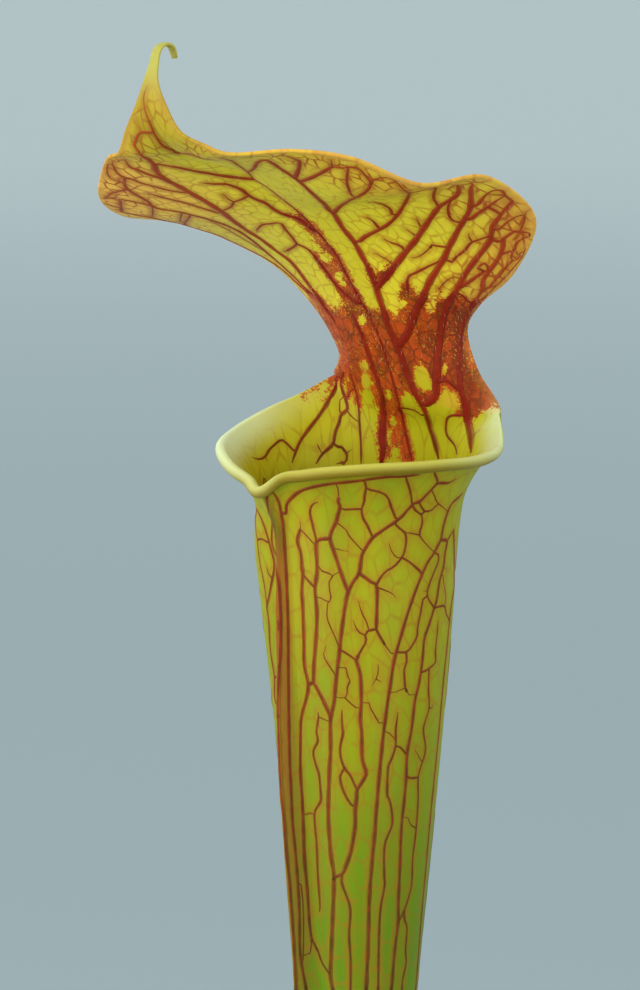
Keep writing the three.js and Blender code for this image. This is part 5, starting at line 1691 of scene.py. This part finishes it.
def scatter(name, surface, cover, lump, finish, settings):
    mesh = surface.data.copy()
    layer = mesh.attributes.new("cover", "FLOAT", "POINT")
    layer.data.foreach_set("value", np.asarray(cover, np.float32))
    piece = addObject(name, mesh)
    modifier = piece.modifiers.new("scatter", "NODES")
    modifier.node_group = scatterTree
    values = {**settings, "Lump": lump, "Finish": finish}
    for socket in scatterTree.interface.items_tree:
        if socket.in_out == "INPUT" and socket.name in values:
            modifier[socket.identifier] = values[socket.name]
    settle(piece)
    piece.data.materials.clear()
    piece.data.materials.append(finish)
    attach(piece, "root")
    print(name, "faces", len(piece.data.polygons))


def makeLump(name, build):  # a shape to scatter, one metre across; it is taken away once it has been used
    body = bmesh.new()
    build(body)
    return addObject(name, meshFrom(name, body))


def roughBall(subdivisions, stretch, roughness):
    def build(body):
        bmesh.ops.create_icosphere(body, subdivisions=subdivisions, radius=0.5)
        for v in body.verts:
            v.co *= 1 + roughness * noise.noise(v.co * 3.1 + Vector(stretch))
            v.co = Vector(a * b for a, b in zip(v.co, stretch))
        for face in body.faces:
            face.smooth = True
    return build


def hairShape(body):
    bmesh.ops.create_cone(body, segments=4, cap_ends=True, radius1=0.024, radius2=0.006, depth=1,
                          matrix=Matrix.Translation((0, 0, 0.45)))


mossHead = {"rays": ((10, 0.5, 6), (6, 0.38, 34), (3, 0.26, 66)), "thick": 0.1}  # how many, how long, how steep


def mossShape(body):
    for count, length, rise in mossHead["rays"]:
        for k in range(count):
            turn, lift = 2 * math.pi * (k + rise / 90) / count, math.radians(rise)
            way = Vector((math.cos(turn) * math.cos(lift), math.sin(turn) * math.cos(lift), math.sin(lift)))
            place = Matrix.Translation(way * length * 0.5) @ way.to_track_quat("Z", "Y").to_matrix().to_4x4()
            bmesh.ops.create_cone(body, segments=4, cap_ends=True, radius1=mossHead["thick"], radius2=0.015,
                                  depth=length, matrix=place)


def readLayer(piece, label):
    values = np.empty(len(piece.data.vertices), np.float32)
    piece.data.attributes[label].data.foreach_get("value", values)
    return values


def plainFinish(name, base, other, scale, roughness):
    return makeGroundMaterial(name, base, other, other, scale, roughness, 0.0003)


scatterForm = {  # lengths in metres
    "peat_crumbs": {"Seed": 3, "Density": 420000.0, "Spacing": 0.0013, "Smallest": 0.0012, "Largest": 0.0036,
                    "Lean": (0, 0, 0), "Tumble": 3.0},
    "perlite": {"Seed": 8, "Density": 9000.0, "Spacing": 0.005, "Smallest": 0.0016, "Largest": 0.0034,
                "Lean": (0, 0, 0), "Tumble": 3.0},
    "bark_bits": {"Seed": 15, "Density": 9000.0, "Spacing": 0.006, "Smallest": 0.004, "Largest": 0.009,
                  "Lean": (0, 0, 0.4), "Tumble": 0.5},
    "moss_heads": {"Seed": 6, "Density": 90000.0, "Spacing": 0.0032, "Smallest": 0.0042, "Largest": 0.0068,
                   "Lean": (0, 0, 0.6), "Tumble": 0.35},
    "hairs": {"Seed": 12, "Density": 900000.0, "Spacing": 0.0008, "Smallest": 0.0005, "Largest": 0.0011,
              "Lean": (0, 0.25, -0.75), "Tumble": 0.25},
}
crumb = makeLump("crumb", roughBall(1, (1.0, 0.62, 0.48), 0.5))
grit = makeLump("grit", roughBall(2, (0.95, 0.8, 0.7), 0.45))
chip = makeLump("chip", roughBall(1, (1.0, 0.2, 0.1), 0.6))
head = makeLump("head", mossShape)
hair = makeLump("hair", hairShape)
perliteWhite = plainFinish("perlite_white", groundPaint["perlite"], paint(204, 200, 188), 900, 0.9)
barkChip = plainFinish("bark_chip", groundPaint["bark"], groundPaint["barkDark"], 600, 0.85)
mossGreen = plainFinish("moss_green", groundPaint["moss"], groundPaint["mossPale"], 160, 0.8)
hairWhite = plainFinish("hair_white", paint(236, 222, 190), paint(222, 196, 160), 300, 0.6)

coverForm = {"leastLevel": 102, "wallGap": 2.5, "crownRadius": 20, "mossPatch": 21}  # where grains and moss lie, in mm
ground = np.array([v.co for v in soilPiece.data.vertices]) / mm
fromMiddle = np.hypot(ground[:, 0], ground[:, 1])
onTop = (ground[:, 2] > coverForm["leastLevel"]) & (
    fromMiddle < potInside(soilForm["edgeLevel"]) - coverForm["wallGap"])
mossy = np.array([noise.fractal(Vector((x, y, 40)) / coverForm["mossPatch"], 0.8, 2.0, 3) for x, y, _ in ground])
mossCover = smooth((mossy - 0.1) / 0.16) * onTop * smooth((fromMiddle - coverForm["crownRadius"]) / 6)
bare = onTop * (1 - mossCover)
for name, lump, finish, cover in (
    ("peat_crumbs", crumb, peat, onTop * (1 - 0.8 * mossCover)), ("perlite", grit, perliteWhite, bare),
    ("bark_bits", chip, barkChip, bare), ("moss_heads", head, mossGreen, mossCover),
):
    scatter(name, soilPiece, cover, lump, finish, scatterForm[name])
for leafPiece in (mainLeaf, secondLeaf):
    level, side, gap, across = (readLayer(leafPiece, label) for label in ("level", "side", "gap", "across"))
    cover = smooth((level - 6) / 10) * (side < 0.4) * (1 - 0.85 * smooth((level - 30) / 24)) * (level < tipLevel - 24)
    cover *= 0.3 + 0.7 * (smooth((4 - gap) / 3) + smooth((2.5 - np.abs(across)) / 2))
    scatter(leafPiece.name.replace("_leaf", "_hairs"), leafPiece, cover, hair, hairWhite,
            scatterForm["hairs"])
for lump in (crumb, grit, chip, head, hair):
    bpy.data.objects.remove(lump)

# Floor and light

# painted shade: the floor is painted darker near the plant and paler further off
floorPaint = {"near": paint(160, 175, 178), "far": paint(196, 207, 208), "from": 0.4, "to": 9, "width": 400}
floorMaterial, tree = newMaterial("floor_paper")
distance = tree.add("ShaderNodeVectorMath", {0: tree.point()}, operation="LENGTH").outputs["Value"]
floorShading = tree.ramp(distance, floorPaint["from"], floorPaint["to"])
tree.surface({"Base Color": tree.mix(floorShading, floorPaint["near"], floorPaint["far"]), "Roughness": 0.9})
bpy.ops.mesh.primitive_plane_add(size=floorPaint["width"])
floor = bpy.context.object
floor.name = "floor"
floor.data.materials.append(floorMaterial)

studioSky = {"colour": (0.88, 0.97, 1, 1), "strength": 0.85}
world = bpy.data.worlds.new("studio")
bpy.context.scene.world = world
world.use_nodes = True
for socket, value in zip(world.node_tree.nodes["Background"].inputs, (studioSky["colour"], studioSky["strength"])):
    socket.default_value = value


def addSoftLight(name, place, aim, size, power, tint, spread=180):  # spread in degrees keeps light off the near floor
    lamp = bpy.data.lights.new(name, "AREA")
    lamp.shape, lamp.size, lamp.energy, lamp.color = "DISK", size, power, tint
    lamp.spread = math.radians(spread)
    light = addObject(name, lamp)
    light.location = place
    light.rotation_euler = (Vector(aim) - Vector(place)).to_track_quat("-Z", "Y").to_euler()


plantMiddle = (0, 0, 0.4)
addSoftLight("key_light", (-0.3, -1.4, 1.3), plantMiddle, 1.0, 14, (1, 0.98, 0.94))
addSoftLight("fill_light", (1.3, -0.4, 0.5), plantMiddle, 1.0, 1.6, (0.94, 0.97, 1), 75)
addSoftLight("low_light", (-0.3, -1.0, 0.25), plantMiddle, 0.8, 1.6, (1, 1, 0.98), 90)
bpy.context.scene.view_settings.view_transform = "Standard"
